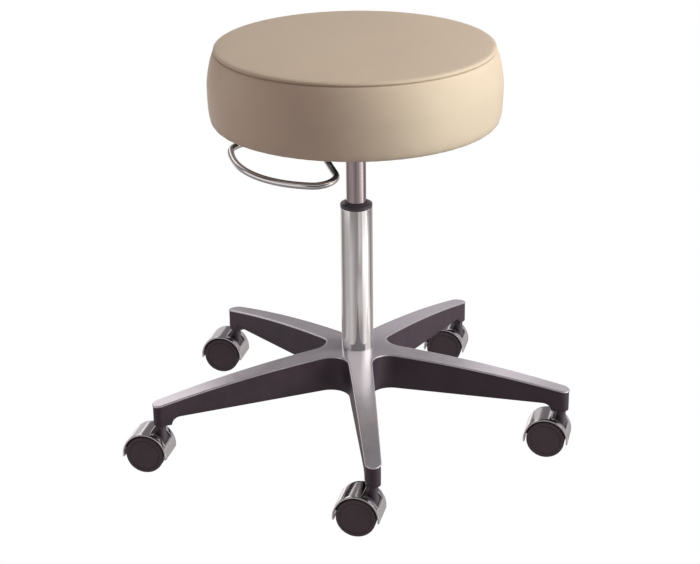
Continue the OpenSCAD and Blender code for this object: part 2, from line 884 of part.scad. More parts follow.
module along_axle() {
    translate([caster_trail, 0, wheel_radius]) rotate([-90, 0, 0]) children();
}

module caster_stem(i) {
    grip_top_z = socket_mouth_z + stem_grip;
    ring_z = grip_top_z - 2 * ring_height;
    color([0.45, 0.45, 0.47])
        at_stem(i)
            turned([[0, stem_foot_z], [stem_foot, stem_foot_z], [stem_foot, socket_mouth_z - side_gap],
                    [stem_radius, socket_mouth_z - side_gap], [stem_radius, ring_z],
                    [stem_radius + ring_proud, ring_z], [stem_radius + ring_proud, ring_z + ring_height],
                    [stem_radius, ring_z + ring_height], [stem_radius, grip_top_z - stem_chamfer],
                    [stem_radius - stem_chamfer, grip_top_z], [0, grip_top_z]]);
}

// The slab between the wheels: a half disc over the axle, and the axle's boss
module caster_slab() {
    along_axle()
        translate([0, 0, -body_half_width])
            linear_extrude(2 * body_half_width) {
                difference() {
                    circle(r = body_radius);
                    translate([-2 * body_radius, 0]) square([4 * body_radius, 2 * body_radius]);
                }
                circle(r = axle_boss);
            }
}

// The dark shield that closes the hood's opening round the neck
module caster_shield() {
    half_width = opening_half_width - side_gap;
    intersection() {
        along_axle()
            difference() {
                cylinder(r = body_radius, h = 2 * half_width, center = true);
                cylinder(r = shield_inner, h = 2 * opening_half_width, center = true);
            }
        translate([-opening_behind - shield_lap, -opening_half_width, wheel_radius])
            cube([opening_ahead + opening_behind + 2 * shield_lap, 2 * opening_half_width, hood_outer]);
    }
}

// The neck that the stem turns in; over the wheels it stops clear of their treads
module caster_neck() {
    foot_z = stem_foot_z - stem_wall;
    top_z = socket_mouth_z - 2 * side_gap;
    difference() {
        translate([0, 0, foot_z]) cylinder(r1 = collar_radius, r2 = neck_radius, h = top_z - foot_z);
        along_axle() cylinder(r = shield_inner, h = 4 * collar_radius, center = true);
    }
    intersection() {
        bar(stem_foot + stem_wall, foot_z, socket_mouth_z - neck_length);
        translate([-collar_radius, -body_half_width, foot_z])
            cube([2 * collar_radius, 2 * body_half_width, socket_mouth_z]);
    }
}

module caster_body(i) {
    color([0.13, 0.12, 0.13])
        at_caster(i)
            difference() {
                union() {
                    caster_slab();
                    caster_shield();
                    caster_neck();
                }
                bar(stem_foot + running_gap, stem_foot_z - side_gap, socket_mouth_z);
                along_axle() cylinder(r = axle_radius + running_gap, h = wheel_spacing, center = true);
            }
}

module caster_hood(i) {
    color([0.8, 0.8, 0.83])
        at_caster(i) {
            difference() {
                along_axle()
                    rotate([0, 0, -180 - hood_end_angle])
                        rotate_extrude(angle = 180 + 2 * hood_end_angle, $fn = fine_fn)
                            polygon([[hood_inner, -hood_half_width], [hood_outer - hood_edge, -hood_half_width],
                                     [hood_outer, -hood_half_width + hood_edge],
                                     [hood_outer, hood_half_width - hood_edge],
                                     [hood_outer - hood_edge, hood_half_width], [hood_inner, hood_half_width]]);
                translate([-opening_behind, -opening_half_width, wheel_radius])
                    cube([opening_ahead + opening_behind, 2 * opening_half_width, 2 * hood_outer]);
            }
        }
}

module caster_axle(i) {
    half_length = wheel_inner_face + axle_bore_depth - side_gap;
    color("silver")
        at_caster(i) along_axle() cylinder(r = axle_radius, h = 2 * half_length, center = true);
}

// One wheel; side is 1 for the wheel on +Y of the caster's frame and -1 for the other
module caster_wheel(i, side) {
    bore = axle_radius + running_gap;
    groove = wheel_radius * wheel_groove_share;
    rim = wheel_radius * wheel_rim_share;
    color([0.16, 0.14, 0.14])
        at_caster(i) along_axle() rotate([side > 0 ? 0 : 180, 0, 0])
            turned([[bore, wheel_inner_face], [wheel_hub, wheel_inner_face],
                    [wheel_hub, wheel_inner_face + wheel_recess], [rim, wheel_inner_face + wheel_recess],
                    [rim, wheel_inner_face], [wheel_radius - wheel_round, wheel_inner_face],
                    [wheel_radius, wheel_inner_face + wheel_round],
                    [wheel_radius, wheel_outer_face - wheel_round],
                    [wheel_radius - wheel_round, wheel_outer_face], [groove + wheel_groove, wheel_outer_face],
                    [groove + wheel_groove / 2, wheel_outer_face - wheel_dish - wheel_groove],
                    [groove, wheel_outer_face - wheel_dish / 2], [wheel_hub, wheel_outer_face - wheel_dish],
                    [0, wheel_outer_face - wheel_dish], [0, wheel_inner_face + axle_bore_depth],
                    [bore, wheel_inner_face + axle_bore_depth]]);
}

cover_top();
cover_band();
cover_staples();
seat_foam();
seat_board();
tee_nuts();
mount_screws();
mount_plate();
taper_socket();
lever_pin();
pin_clips();
release_lever();
handle();
release_button();
gas_cylinder();
cylinder_end();
piston();
piston_rod();
bump_stop();
bearing_upper_race();
rod_clip();
bearing_balls();
bearing_lower_race();
column_bottom_plate();
guide_bush();
column_tube();
base_casting();
caster_stem(0);  // caster_stem_front
caster_stem(1);  // caster_stem_front_left
caster_stem(2);  // caster_stem_rear_left
caster_stem(3);  // caster_stem_rear_right
caster_stem(4);  // caster_stem_front_right
caster_body(0);  // caster_body_front
caster_body(1);  // caster_body_front_left
caster_body(2);  // caster_body_rear_left
caster_body(3);  // caster_body_rear_right
caster_body(4);  // caster_body_front_right
caster_hood(0);  // caster_hood_front
caster_hood(1);  // caster_hood_front_left
caster_hood(2);  // caster_hood_rear_left
caster_hood(3);  // caster_hood_rear_right
caster_hood(4);  // caster_hood_front_right
caster_axle(0);  // caster_axle_front
caster_axle(1);  // caster_axle_front_left
caster_axle(2);  // caster_axle_rear_left
caster_axle(3);  // caster_axle_rear_right
caster_axle(4);  // caster_axle_front_right
caster_wheel(0, 1);  // caster_wheel_a_front
caster_wheel(1, 1);  // caster_wheel_a_front_left
caster_wheel(2, 1);  // caster_wheel_a_rear_left
caster_wheel(3, 1);  // caster_wheel_a_rear_right
caster_wheel(4, 1);  // caster_wheel_a_front_right
caster_wheel(0, -1);  // caster_wheel_b_front
caster_wheel(1, -1);  // caster_wheel_b_front_left
caster_wheel(2, -1);  // caster_wheel_b_rear_left
caster_wheel(3, -1);  // caster_wheel_b_rear_right
caster_wheel(4, -1);  // caster_wheel_b_front_right
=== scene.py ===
"""The exam stool's looks: finishes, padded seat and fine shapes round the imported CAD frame.

The stool's sizes are in millimetres, the studio's in metres, and angles in degrees. They become
metres and radians where a mesh, a light or the camera is made.
"""

import logging
import math
from contextlib import contextmanager
from dataclasses import dataclass
from enum import Enum
from typing import Callable, Iterator, Sequence

import bmesh
import bpy
import numpy as np
from mathutils import Matrix, Vector, noise
from mathutils.bvhtree import BVHTree
from mathutils.interpolate import poly_3d_calc


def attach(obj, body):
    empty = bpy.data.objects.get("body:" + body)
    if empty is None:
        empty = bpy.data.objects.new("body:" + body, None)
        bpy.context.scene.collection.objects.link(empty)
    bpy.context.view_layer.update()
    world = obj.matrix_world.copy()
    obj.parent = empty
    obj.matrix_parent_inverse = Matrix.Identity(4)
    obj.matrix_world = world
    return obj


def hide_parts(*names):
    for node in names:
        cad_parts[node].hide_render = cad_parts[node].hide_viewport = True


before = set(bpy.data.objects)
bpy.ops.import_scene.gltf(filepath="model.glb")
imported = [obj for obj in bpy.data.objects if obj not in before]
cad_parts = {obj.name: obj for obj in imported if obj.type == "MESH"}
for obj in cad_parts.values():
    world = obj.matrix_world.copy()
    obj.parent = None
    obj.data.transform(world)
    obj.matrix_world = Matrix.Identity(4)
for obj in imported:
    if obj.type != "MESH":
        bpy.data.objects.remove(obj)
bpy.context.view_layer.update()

LOG = logging.getLogger("exam_stool")
MM = 0.001
WELD = 0.004 * MM
ARM_STEP = 72
HALF_SECTOR = math.radians(ARM_STEP / 2)

Point2 = tuple[float, float]
Point3 = tuple[float, float, float]
Colour = tuple[float, float, float]
Shell = tuple[list[Point3], list[tuple[int, ...]]]


class Body(Enum):
    """The frame's bodies that pieces are made for, apart from the casters'."""

    BASE = "base"
    SEAT = "seat"
    HANDLE = "handle"


class Slot(Enum):
    """The record's material slots."""

    VINYL = "vinyl"
    PLYWOOD = "plywood"
    ZINC = "zinc_steel"
    BLACK_STEEL = "black_steel"
    CHROME = "chrome"
    SATIN_STEEL = "satin_steel"
    BEARING_STEEL = "bearing_steel"
    BLACK_PLASTIC = "black_plastic"
    BUMP_RUBBER = "bump_rubber"
    ALUMINIUM = "cast_aluminium"
    WHEEL_PLASTIC = "wheel_plastic"


class Place(Enum):
    """The five ends of the base, each with its number round the column."""

    FRONT = "front"
    FRONT_LEFT = "front_left"
    REAR_LEFT = "rear_left"
    REAR_RIGHT = "rear_right"
    FRONT_RIGHT = "front_right"

    @property
    def heading(self) -> float:
        """The direction of this arm, in radians from +X."""
        return math.radians(-90 - ARM_STEP * list(Place).index(self))


# Nodes


class NodeSketch:
    """Adds nodes to one tree and joins them."""

    def __init__(self, tree: bpy.types.NodeTree) -> None:
        """Starts with an empty tree.

        Args:
            tree: the material's, world's or modifier's tree.
        """
        self.tree = tree
        tree.nodes.clear()

    def add(self, kind: str, inputs: dict[str | int, object] | None = None,
            **settings: object) -> bpy.types.Node:
        """Adds one node.

        Args:
            kind: the node's type name.
            inputs: a value or an output socket for each named or numbered input.
            settings: the node's own settings.

        Returns:
            The new node.
        """
        node = self.tree.nodes.new(kind)
        for key, value in settings.items():
            setattr(node, key, value)
        for key, value in (inputs or {}).items():
            self.put(node.inputs[key], value)
        return node

    def put(self, socket: bpy.types.NodeSocket, value: object) -> None:
        """Sets or joins one input.

        Args:
            socket: the input.
            value: a number, a vector, or the output socket that it is joined to.
        """
        if isinstance(value, bpy.types.NodeSocket):
            self.tree.links.new(value, socket)
        else:
            socket.default_value = value

    def sum_of(self, kind: str, first: object, second: object = 0.0) -> bpy.types.NodeSocket:
        """A Math node's result.

        Args:
            kind: the operation.
            first: its first input.
            second: its second input.

        Returns:
            The result's socket.
        """
        node = self.add("ShaderNodeMath", {0: first, 1: second}, operation=kind)
        return node.outputs[0]

    def ramp(self, value: object, low: float, high: float, to_low: float,
             to_high: float) -> bpy.types.NodeSocket:
        """Maps a value from one range to another.

        Args:
            value: the value's socket.
            low: the value that gives to_low.
            high: the value that gives to_high.
            to_low: the result at the low end.
            to_high: the result at the high end.

        Returns:
            The result's socket.
        """
        node = self.add("ShaderNodeMapRange", {"Value": value, "From Min": low, "From Max": high,
                                               "To Min": to_low, "To Max": to_high})
        return node.outputs["Result"]

    def noise(self, vector: object, scale: float, detail: float = 3.0,
              roughness: float = 0.55) -> bpy.types.NodeSocket:
        """A noise texture's value.

        Args:
            vector: the coordinates' socket.
            scale: how many cells fit in a unit.
            detail: how many finer layers it has.
            roughness: how strong the finer layers are.

        Returns:
            The value's socket, about 0.5 on average.
        """
        node = self.add("ShaderNodeTexNoise", {"Vector": vector, "Scale": scale, "Detail": detail,
                                               "Roughness": roughness})
        return node.outputs["Fac"]

    def mix(self, share: object, first: object, second: object) -> bpy.types.NodeSocket:
        """Mixes two colours.

        Args:
            share: how much of the second colour there is.
            first: the first colour.
            second: the second colour.

        Returns:
            The mixed colour's socket.
        """
        node = self.add("ShaderNodeMix", {0: share, 6: first, 7: second}, data_type="RGBA")
        return node.outputs[2]

    def scaled(self, vector: object, stretch: Point3) -> bpy.types.NodeSocket:
        """Coordinates stretched along each axis.

        Args:
            vector: the coordinates' socket.
            stretch: the factor along each axis.

        Returns:
            The new coordinates' socket.
        """
        return self.add("ShaderNodeMapping", {"Vector": vector, "Scale": stretch}).outputs["Vector"]

    def bump(self, height: object, depth: float, strength: float = 1.0,
             normal: object | None = None) -> bpy.types.NodeSocket:
        """A bump from a height.

        Args:
            height: the height's socket, from 0 to 1.
            depth: the relief's depth in millimetres.
            strength: how much of it is used.
            normal: the normal that it is added to.

        Returns:
            The normal's socket.
        """
        inputs = {"Height": height, "Distance": depth * MM, "Strength": strength}
        if normal is not None:
            inputs["Normal"] = normal
        return self.add("ShaderNodeBump", inputs).outputs["Normal"]


# Finishes


def rgba(colour: Colour, factor: float = 1.0) -> tuple[float, float, float, float]:
    """A colour with its alpha.

    Args:
        colour: linear red, green and blue.
        factor: what the colour is multiplied by.

    Returns:
        The four numbers that a colour socket takes.
    """
    return (*(min(1.0, c * factor) for c in colour), 1.0)


@dataclass(frozen=True)
class Finish:
    """A surface with an even grain: colour drift, fine relief and uneven gloss.

    grain is the size of the grain in millimetres and stretch squeezes it along each axis.
    drift is the share by which the colour wanders over cloud millimetres.
    """

    name: str
    slot: Slot
    colour: Colour
    metal: float = 0.0
    gloss: tuple[float, float] = (0.4, 0.5)
    grain: float = 1.0
    stretch: Point3 = (1.0, 1.0, 1.0)
    relief: float = 0.02
    drift: float = 0.06
    cloud: float = 40.0

    def material(self) -> bpy.types.Material:
        """The finish's material, which is made when it is first asked for."""
        found = bpy.data.materials.get(self.name)
        if found is not None:
            return found
        made = bpy.data.materials.new(self.name)
        made.use_nodes = True
        sketch = NodeSketch(made.node_tree)
        shader = sketch.add("ShaderNodeBsdfPrincipled", {"Metallic": self.metal})
        sketch.add("ShaderNodeOutputMaterial", {"Surface": shader.outputs["BSDF"]})
        self.dress(sketch, shader)
        return made

    def drifted(self, sketch: NodeSketch, pattern: object, low: float,
                high: float) -> bpy.types.NodeSocket:
        """The finish's colour as it drifts from dark to light.

        Args:
            sketch: the material's tree.
            pattern: the socket that the drift follows.
            low: the pattern's value where the colour is darkest.
            high: its value where the colour is lightest.

        Returns:
            The colour's socket.
        """
        return sketch.mix(sketch.ramp(pattern, low, high, 0, 1), rgba(self.colour, 1 - self.drift),
                          rgba(self.colour, 1 + self.drift))

    def dress(self, sketch: NodeSketch, shader: bpy.types.Node) -> None:
        """Joins the finish's pattern to its shader.

        Args:
            sketch: the material's tree.
            shader: its Principled BSDF.
        """
        place = sketch.add("ShaderNodeTexCoord").outputs["Object"]
        cloud = sketch.noise(place, 1 / (self.cloud * MM), 3)
        grain = sketch.noise(sketch.scaled(place, self.stretch), 1 / (self.grain * MM), 2)
        sketch.put(shader.inputs["Base Color"], self.drifted(sketch, cloud, 0.35, 0.65))
        gloss = sketch.sum_of("ADD", sketch.ramp(grain, 0.3, 0.7, self.gloss[0], self.gloss[1]),
                              sketch.ramp(cloud, 0.35, 0.65, -0.02, 0.02))
        sketch.put(shader.inputs["Roughness"], gloss)
        sketch.put(shader.inputs["Normal"], sketch.bump(grain, self.relief))


@dataclass(frozen=True)
class Vinyl(Finish):
    """Upholstery vinyl: pebbled grain, a soft sheen, painted shade in the pebbles' creases and a
    painted shade line along the sewn groove.
    """

    pebble: float = 1.1
    # The colour's factor in the deepest part of the seam's groove: painted shade, not a darker
    # vinyl.
    seam_painted_shade: float = 0.8
    seam_dulling: float = 0.2

    def dress(self, sketch: NodeSketch, shader: bpy.types.Node) -> None:
        """Joins the vinyl's grain and the painted shade along the seam's groove to its shader.

        Args:
            sketch: the material's tree.
            shader: its Principled BSDF.
        """
        place = sketch.add("ShaderNodeTexCoord").outputs["Object"]
        cloud = sketch.noise(place, 1 / (self.cloud * MM), 4)
        pebble = self.pebble * MM
        wander = sketch.add("ShaderNodeTexNoise", {
            "Vector": place, "Scale": 0.5 / pebble, "Detail": 2.0}).outputs["Color"]
        bent = sketch.add("ShaderNodeVectorMath", {
            0: place, 1: sketch.scaled(wander, (pebble,) * 3)}, operation="ADD").outputs["Vector"]
        cells = sketch.add("ShaderNodeTexVoronoi", {"Vector": bent, "Scale": 1 / pebble},
                           feature="DISTANCE_TO_EDGE").outputs["Distance"]
        pebbles = sketch.ramp(cells, 0.0, 0.22, 0, 1)
        fine = sketch.noise(place, 1 / (0.35 * pebble), 2)
        seam = sketch.add("ShaderNodeAttribute", attribute_name="seam").outputs["Fac"]
        body = self.drifted(sketch, cloud, 0.3, 0.7)
        # Painted shade: the colour darkens slightly in the creases between the pebbles.
        crease_shaded = sketch.mix(sketch.ramp(pebbles, 0, 1, 0.10, 0), body, rgba(self.colour, 0.55))
        # Painted shade: the colour darkens along the seam's groove as its depth grows.
        sketch.put(shader.inputs["Base Color"],
                   sketch.mix(seam, crease_shaded, rgba(self.colour, self.seam_painted_shade)))
        gloss = sketch.sum_of("ADD", sketch.ramp(pebbles, 0, 1, self.gloss[1], self.gloss[0]),
                              sketch.ramp(cloud, 0.3, 0.7, -0.03, 0.03))
        dull = sketch.sum_of("MULTIPLY", seam, self.seam_dulling)
        sketch.put(shader.inputs["Roughness"], sketch.sum_of("ADD", gloss, dull))
        first = sketch.bump(fine, 0.3 * self.relief)
        sketch.put(shader.inputs["Normal"], sketch.bump(pebbles, self.relief, 0.8, first))


@dataclass(frozen=True)
class PolishedCasting(Finish):
    """Aluminium that was ground and buffed along each arm; its streaks follow the grain UV map."""

    def dress(self, sketch: NodeSketch, shader: bpy.types.Node) -> None:
        """Joins the buffing streaks to the shader.

        Args:
            sketch: the material's tree.
            shader: its Principled BSDF.
        """
        along = sketch.add("ShaderNodeUVMap", uv_map="grain").outputs["UV"]
        place = sketch.add("ShaderNodeTexCoord").outputs["Object"]
        streak = sketch.noise(sketch.scaled(along, (5.0, 260.0, 1.0)), 1.0, 4, 0.65)
        cloud = sketch.noise(place, 1 / (self.cloud * MM), 4)
        both = sketch.sum_of("ADD", streak, cloud)
        sketch.put(shader.inputs["Base Color"], self.drifted(sketch, both, 0.8, 1.2))
        gloss = sketch.sum_of("ADD", sketch.ramp(streak, 0.3, 0.7, self.gloss[0], self.gloss[1]),
                              sketch.ramp(cloud, 0.3, 0.7, -0.03, 0.05))
        sketch.put(shader.inputs["Roughness"], gloss)
        pits = sketch.noise(place, 1 / (self.grain * MM), 2)
        first = sketch.bump(streak, 0.35 * self.relief)
        sketch.put(shader.inputs["Normal"], sketch.bump(pits, self.relief, 0.5, first))


@dataclass(frozen=True)
class Plywood(Finish):
    """Stained plywood: long wavering grain on the faces."""

    def dress(self, sketch: NodeSketch, shader: bpy.types.Node) -> None:
        """Joins the wood's grain to its shader.

        Args:
            sketch: the material's tree.
            shader: its Principled BSDF.
        """
        place = sketch.add("ShaderNodeTexCoord").outputs["Object"]
        bent = sketch.noise(sketch.scaled(place, (1.2, 9.0, 9.0)), 3.0, 3)
        rings = sketch.add("ShaderNodeTexWave", {
            "Vector": sketch.scaled(place, (1.0, 9.0, 9.0)), "Scale": 6.0, "Distortion": 7.0,
            "Detail": 3.0, "Detail Scale": 1.4}, bands_direction="Y").outputs["Fac"]
        pores = sketch.noise(sketch.scaled(place, (0.06, 1.0, 1.0)), 1 / (self.grain * MM), 3)
        wood = sketch.mix(sketch.ramp(sketch.sum_of("ADD", rings, bent), 0.4, 1.6, 0, 1),
                          rgba(self.colour, 0.8), rgba(self.colour, 1.12))
        sketch.put(shader.inputs["Base Color"],
                   sketch.mix(sketch.ramp(pores, 0.35, 0.6, 0.35, 0), wood, rgba(self.colour, 0.5)))
        gloss = sketch.ramp(pores, 0.3, 0.7, self.gloss[1], self.gloss[0])
        sketch.put(shader.inputs["Roughness"], gloss)
        sketch.put(shader.inputs["Normal"], sketch.bump(pores, self.relief))


VINYL = Vinyl("tan_vinyl", Slot.VINYL, (0.60, 0.49, 0.365), gloss=(0.40, 0.5), relief=0.05,
              drift=0.025, cloud=55)
CHROME = Finish("polished_chrome", Slot.CHROME, (0.81, 0.80, 0.775), metal=1, gloss=(0.06, 0.11),
                grain=2.5, stretch=(1, 1, 0.12), relief=0.004, drift=0.02, cloud=90)
SATIN_STEEL = Finish("ground_cylinder", Slot.SATIN_STEEL, (0.44, 0.375, 0.375), metal=1,
                     gloss=(0.12, 0.2), grain=1.4, stretch=(0.1, 0.1, 6), relief=0.004, drift=0.03,
                     cloud=50)
POLISHED = PolishedCasting("buffed_aluminium", Slot.ALUMINIUM, (0.80, 0.765, 0.80), metal=0.78,
                           gloss=(0.12, 0.22), grain=1.1, relief=0.006, drift=0.035, cloud=32)
CASTING_PAINT = Finish("dark_casting_paint", Slot.ALUMINIUM, (0.052, 0.036, 0.047),
                       gloss=(0.42, 0.55), grain=1.3, relief=0.03, drift=0.12, cloud=30)
WHEEL_PLASTIC = Finish("dark_wheel_plastic", Slot.WHEEL_PLASTIC, (0.083, 0.063, 0.072),
                       gloss=(0.42, 0.52), grain=0.6, relief=0.012, drift=0.1, cloud=18)
BLACK_PLASTIC = Finish("moulded_black_plastic", Slot.BLACK_PLASTIC, (0.068, 0.055, 0.066),
                       gloss=(0.26, 0.36), grain=0.5, relief=0.008, drift=0.1, cloud=15)
POWDER_COAT = Finish("black_powder_coat", Slot.BLACK_STEEL, (0.02, 0.02, 0.022), gloss=(0.45, 0.6),
                     grain=0.9, relief=0.035, drift=0.1, cloud=30)
ZINC = Finish("bright_zinc", Slot.ZINC, (0.62, 0.64, 0.66), metal=1, gloss=(0.28, 0.42), grain=1.5,
              relief=0.01, drift=0.08, cloud=8)
PLYWOOD = Plywood("black_stained_plywood", Slot.PLYWOOD, (0.08, 0.068, 0.063), gloss=(0.5, 0.68),
                  grain=0.8, relief=0.04)
RUBBER = Finish("bump_rubber_black", Slot.BUMP_RUBBER, (0.016, 0.016, 0.016), gloss=(0.62, 0.78),
                grain=0.7, relief=0.02, drift=0.12)
BEARING_STEEL = Finish("bearing_steel_bright", Slot.BEARING_STEEL, (0.58, 0.58, 0.6), metal=1,
                       gloss=(0.12, 0.2), grain=0.5, stretch=(0.3, 0.3, 4), relief=0.003,
                       drift=0.03)

CAD_FINISHES: dict[str, Finish] = {
    "seat_board": PLYWOOD, "tee_nuts": ZINC, "mount_plate": POWDER_COAT,
    "taper_socket": POWDER_COAT, "lever_pin": ZINC, "pin_clips": ZINC,
    "release_lever": POWDER_COAT, "release_button": BEARING_STEEL,
    "cylinder_end": BLACK_PLASTIC, "piston": BEARING_STEEL, "piston_rod": CHROME,
    "bump_stop": RUBBER, "bearing_upper_race": BEARING_STEEL, "rod_clip": ZINC,
    "bearing_balls": BEARING_STEEL, "bearing_lower_race": BEARING_STEEL,
    "column_bottom_plate": ZINC,
}


# Meshes


def polar(radius: float, angle: float) -> Point2:
    """The point at a radius and an angle in radians."""
    return radius * math.cos(angle), radius * math.sin(angle)


def linked(name: str, data: bpy.types.ID) -> bpy.types.Object:
    """A new object of the scene with this mesh, light or camera."""
    made = bpy.data.objects.new(name, data)
    bpy.context.scene.collection.objects.link(made)
    return made


def path_object(name: str, points: Sequence[Point3]) -> bpy.types.Object:
    """Makes an object whose edges follow a path.

    Args:
        name: the object's name.
        points: the path's points, in millimetres.

    Returns:
        The object.
    """
    mesh = bpy.data.meshes.new(name)
    mesh.from_pydata([tuple(c * MM for c in p) for p in points],
                     [(k, k + 1) for k in range(len(points) - 1)], [])
    return linked(name, mesh)


def filleted(corners: Sequence[Point3], steps: int = 4) -> list[Point2]:
    """Rounds the corners of a profile.

    Args:
        corners: radius, height and fillet of each corner, from one end to the other.
        steps: how many edges make one fillet.

    Returns:
        The profile's points. The ends stay as they are.
    """
    made: list[Point2] = []
    for i, (x, y, fillet) in enumerate(corners):
        if fillet <= 0 or i in (0, len(corners) - 1):
            made.append((x, y))
            continue
        here, before, after = (Vector(corners[k][:2]) for k in (i, i - 1, i + 1))
        back, ahead = (before - here).normalized(), (after - here).normalized()
        half = back.angle(ahead) / 2
        reach = fillet / math.tan(half)
        centre = here + (back + ahead).normalized() * (fillet / math.sin(half))
        start, end = here + back * reach - centre, here + ahead * reach - centre
        for k in range(steps + 1):
            spoke = start.lerp(end, k / steps).normalized() * fillet
            made.append(tuple(centre + spoke))
    return made


def turned(profile: Sequence[Point2], segments: int, closed: bool = False) -> Shell:
    """Turns a profile round the Z axis.

    Args:
        profile: radius and height of each point. A radius of 0 makes a pole.
        segments: how many edges go round.
        closed: whether the last point joins the first, as in a ring.

    Returns:
        The shell's points and faces.
    """
    points: list[Point3] = []
    rings: list[list[int]] = []
    for radius, height in profile:
        count = 1 if radius <= 0 else segments
        rings.append([len(points) + k % count for k in range(segments)])
        points += [(*polar(radius, math.tau * k / segments), height) for k in range(count)]
    faces = []
    pairs = list(zip(rings, rings[1:] + rings[:1]))
    for low, high in pairs if closed else pairs[:-1]:
        for k in range(segments):
            after = (k + 1) % segments
            face = tuple(dict.fromkeys((low[k], low[after], high[after], high[k])))
            if len(face) > 2:
                faces.append(face)
    return points, faces


def moved(shell: Shell, matrix: Matrix) -> Shell:
    """A shell with its points moved.

    Args:
        shell: points and faces.
        matrix: where they go.

    Returns:
        The moved shell.
    """
    return [tuple(matrix @ Vector(p)) for p in shell[0]], shell[1]


def joined(shells: Sequence[Shell]) -> Shell:
    """Several shells as one.

    Args:
        shells: the shells to put together.

    Returns:
        Their points and faces.
    """
    points: list[Point3] = []
    faces: list[tuple[int, ...]] = []
    for own_points, own_faces in shells:
        faces += [tuple(i + len(points) for i in face) for face in own_faces]
        points += own_points
    return points, faces


@contextmanager
def edited(mesh: bpy.types.Mesh) -> Iterator[bmesh.types.BMesh]:
    """Opens a mesh for edits and writes them back.

    Args:
        mesh: the mesh.

    Returns:
        A context that gives the mesh's faces and points to edit.
    """
    work = bmesh.new()
    work.from_mesh(mesh)
    yield work
    work.to_mesh(mesh)
    work.free()


def smoothed(mesh: bpy.types.Mesh, angle: float = 35) -> None:
    """Shades a mesh smooth, with sharp edges past an angle.

    Args:
        mesh: the mesh.
        angle: the angle in degrees.
    """
    mesh.shade_smooth()
    mesh.set_sharp_from_angle(angle=math.radians(angle))


def piece_from(name: str, shell: Shell, finishes: Sequence[Finish], angle: float = 35,
               outward: bool = True) -> bpy.types.Object:
    """Makes an object from a shell in millimetres.

    Args:
        name: the piece's name.
        shell: its points and faces.
        finishes: its material slots.
        angle: past which an edge looks sharp, in degrees.
        outward: whether its doubles are merged and its faces turned outwards.

    Returns:
        The object, at the origin.
    """
    mesh = bpy.data.meshes.new(name)
    mesh.from_pydata([tuple(c * MM for c in p) for p in shell[0]], [], shell[1])
    if outward:
        with edited(mesh) as work:
            bmesh.ops.remove_doubles(work, verts=work.verts, dist=WELD)
            bmesh.ops.recalc_face_normals(work, faces=work.faces)
    for finish in finishes:
        mesh.materials.append(finish.material())
    smoothed(mesh, angle)
    return linked(name, mesh)


def settled(made: bpy.types.Object) -> bpy.types.Object:
    """Turns what an object's modifiers make into its own plain mesh.

    Args:
        made: the object.

    Returns:
        The same object, without modifiers.
    """
    graph = bpy.context.evaluated_depsgraph_get()
    mesh = bpy.data.meshes.new_from_object(made.evaluated_get(graph), depsgraph=graph)
    made.modifiers.clear()
    made.data = mesh
    mesh.name = made.name
    return made


def fitted(made: bpy.types.Object, body: Body | str, slot: Slot, *nodes: str) -> bpy.types.Object:
    """Puts a finished piece on its body.

    Args:
        made: the piece.
        body: the body that it moves with.
        slot: its material slot in the record; it is not used.
        nodes: the CAD nodes that it stands for.

    Returns:
        The piece.
    """
    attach(made, body.value if isinstance(body, Body) else body)
    if nodes:
        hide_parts(*nodes)
    LOG.info("%s: %d faces on %s", made.name, len(made.data.polygons), body)
    return made


# Geometry Nodes


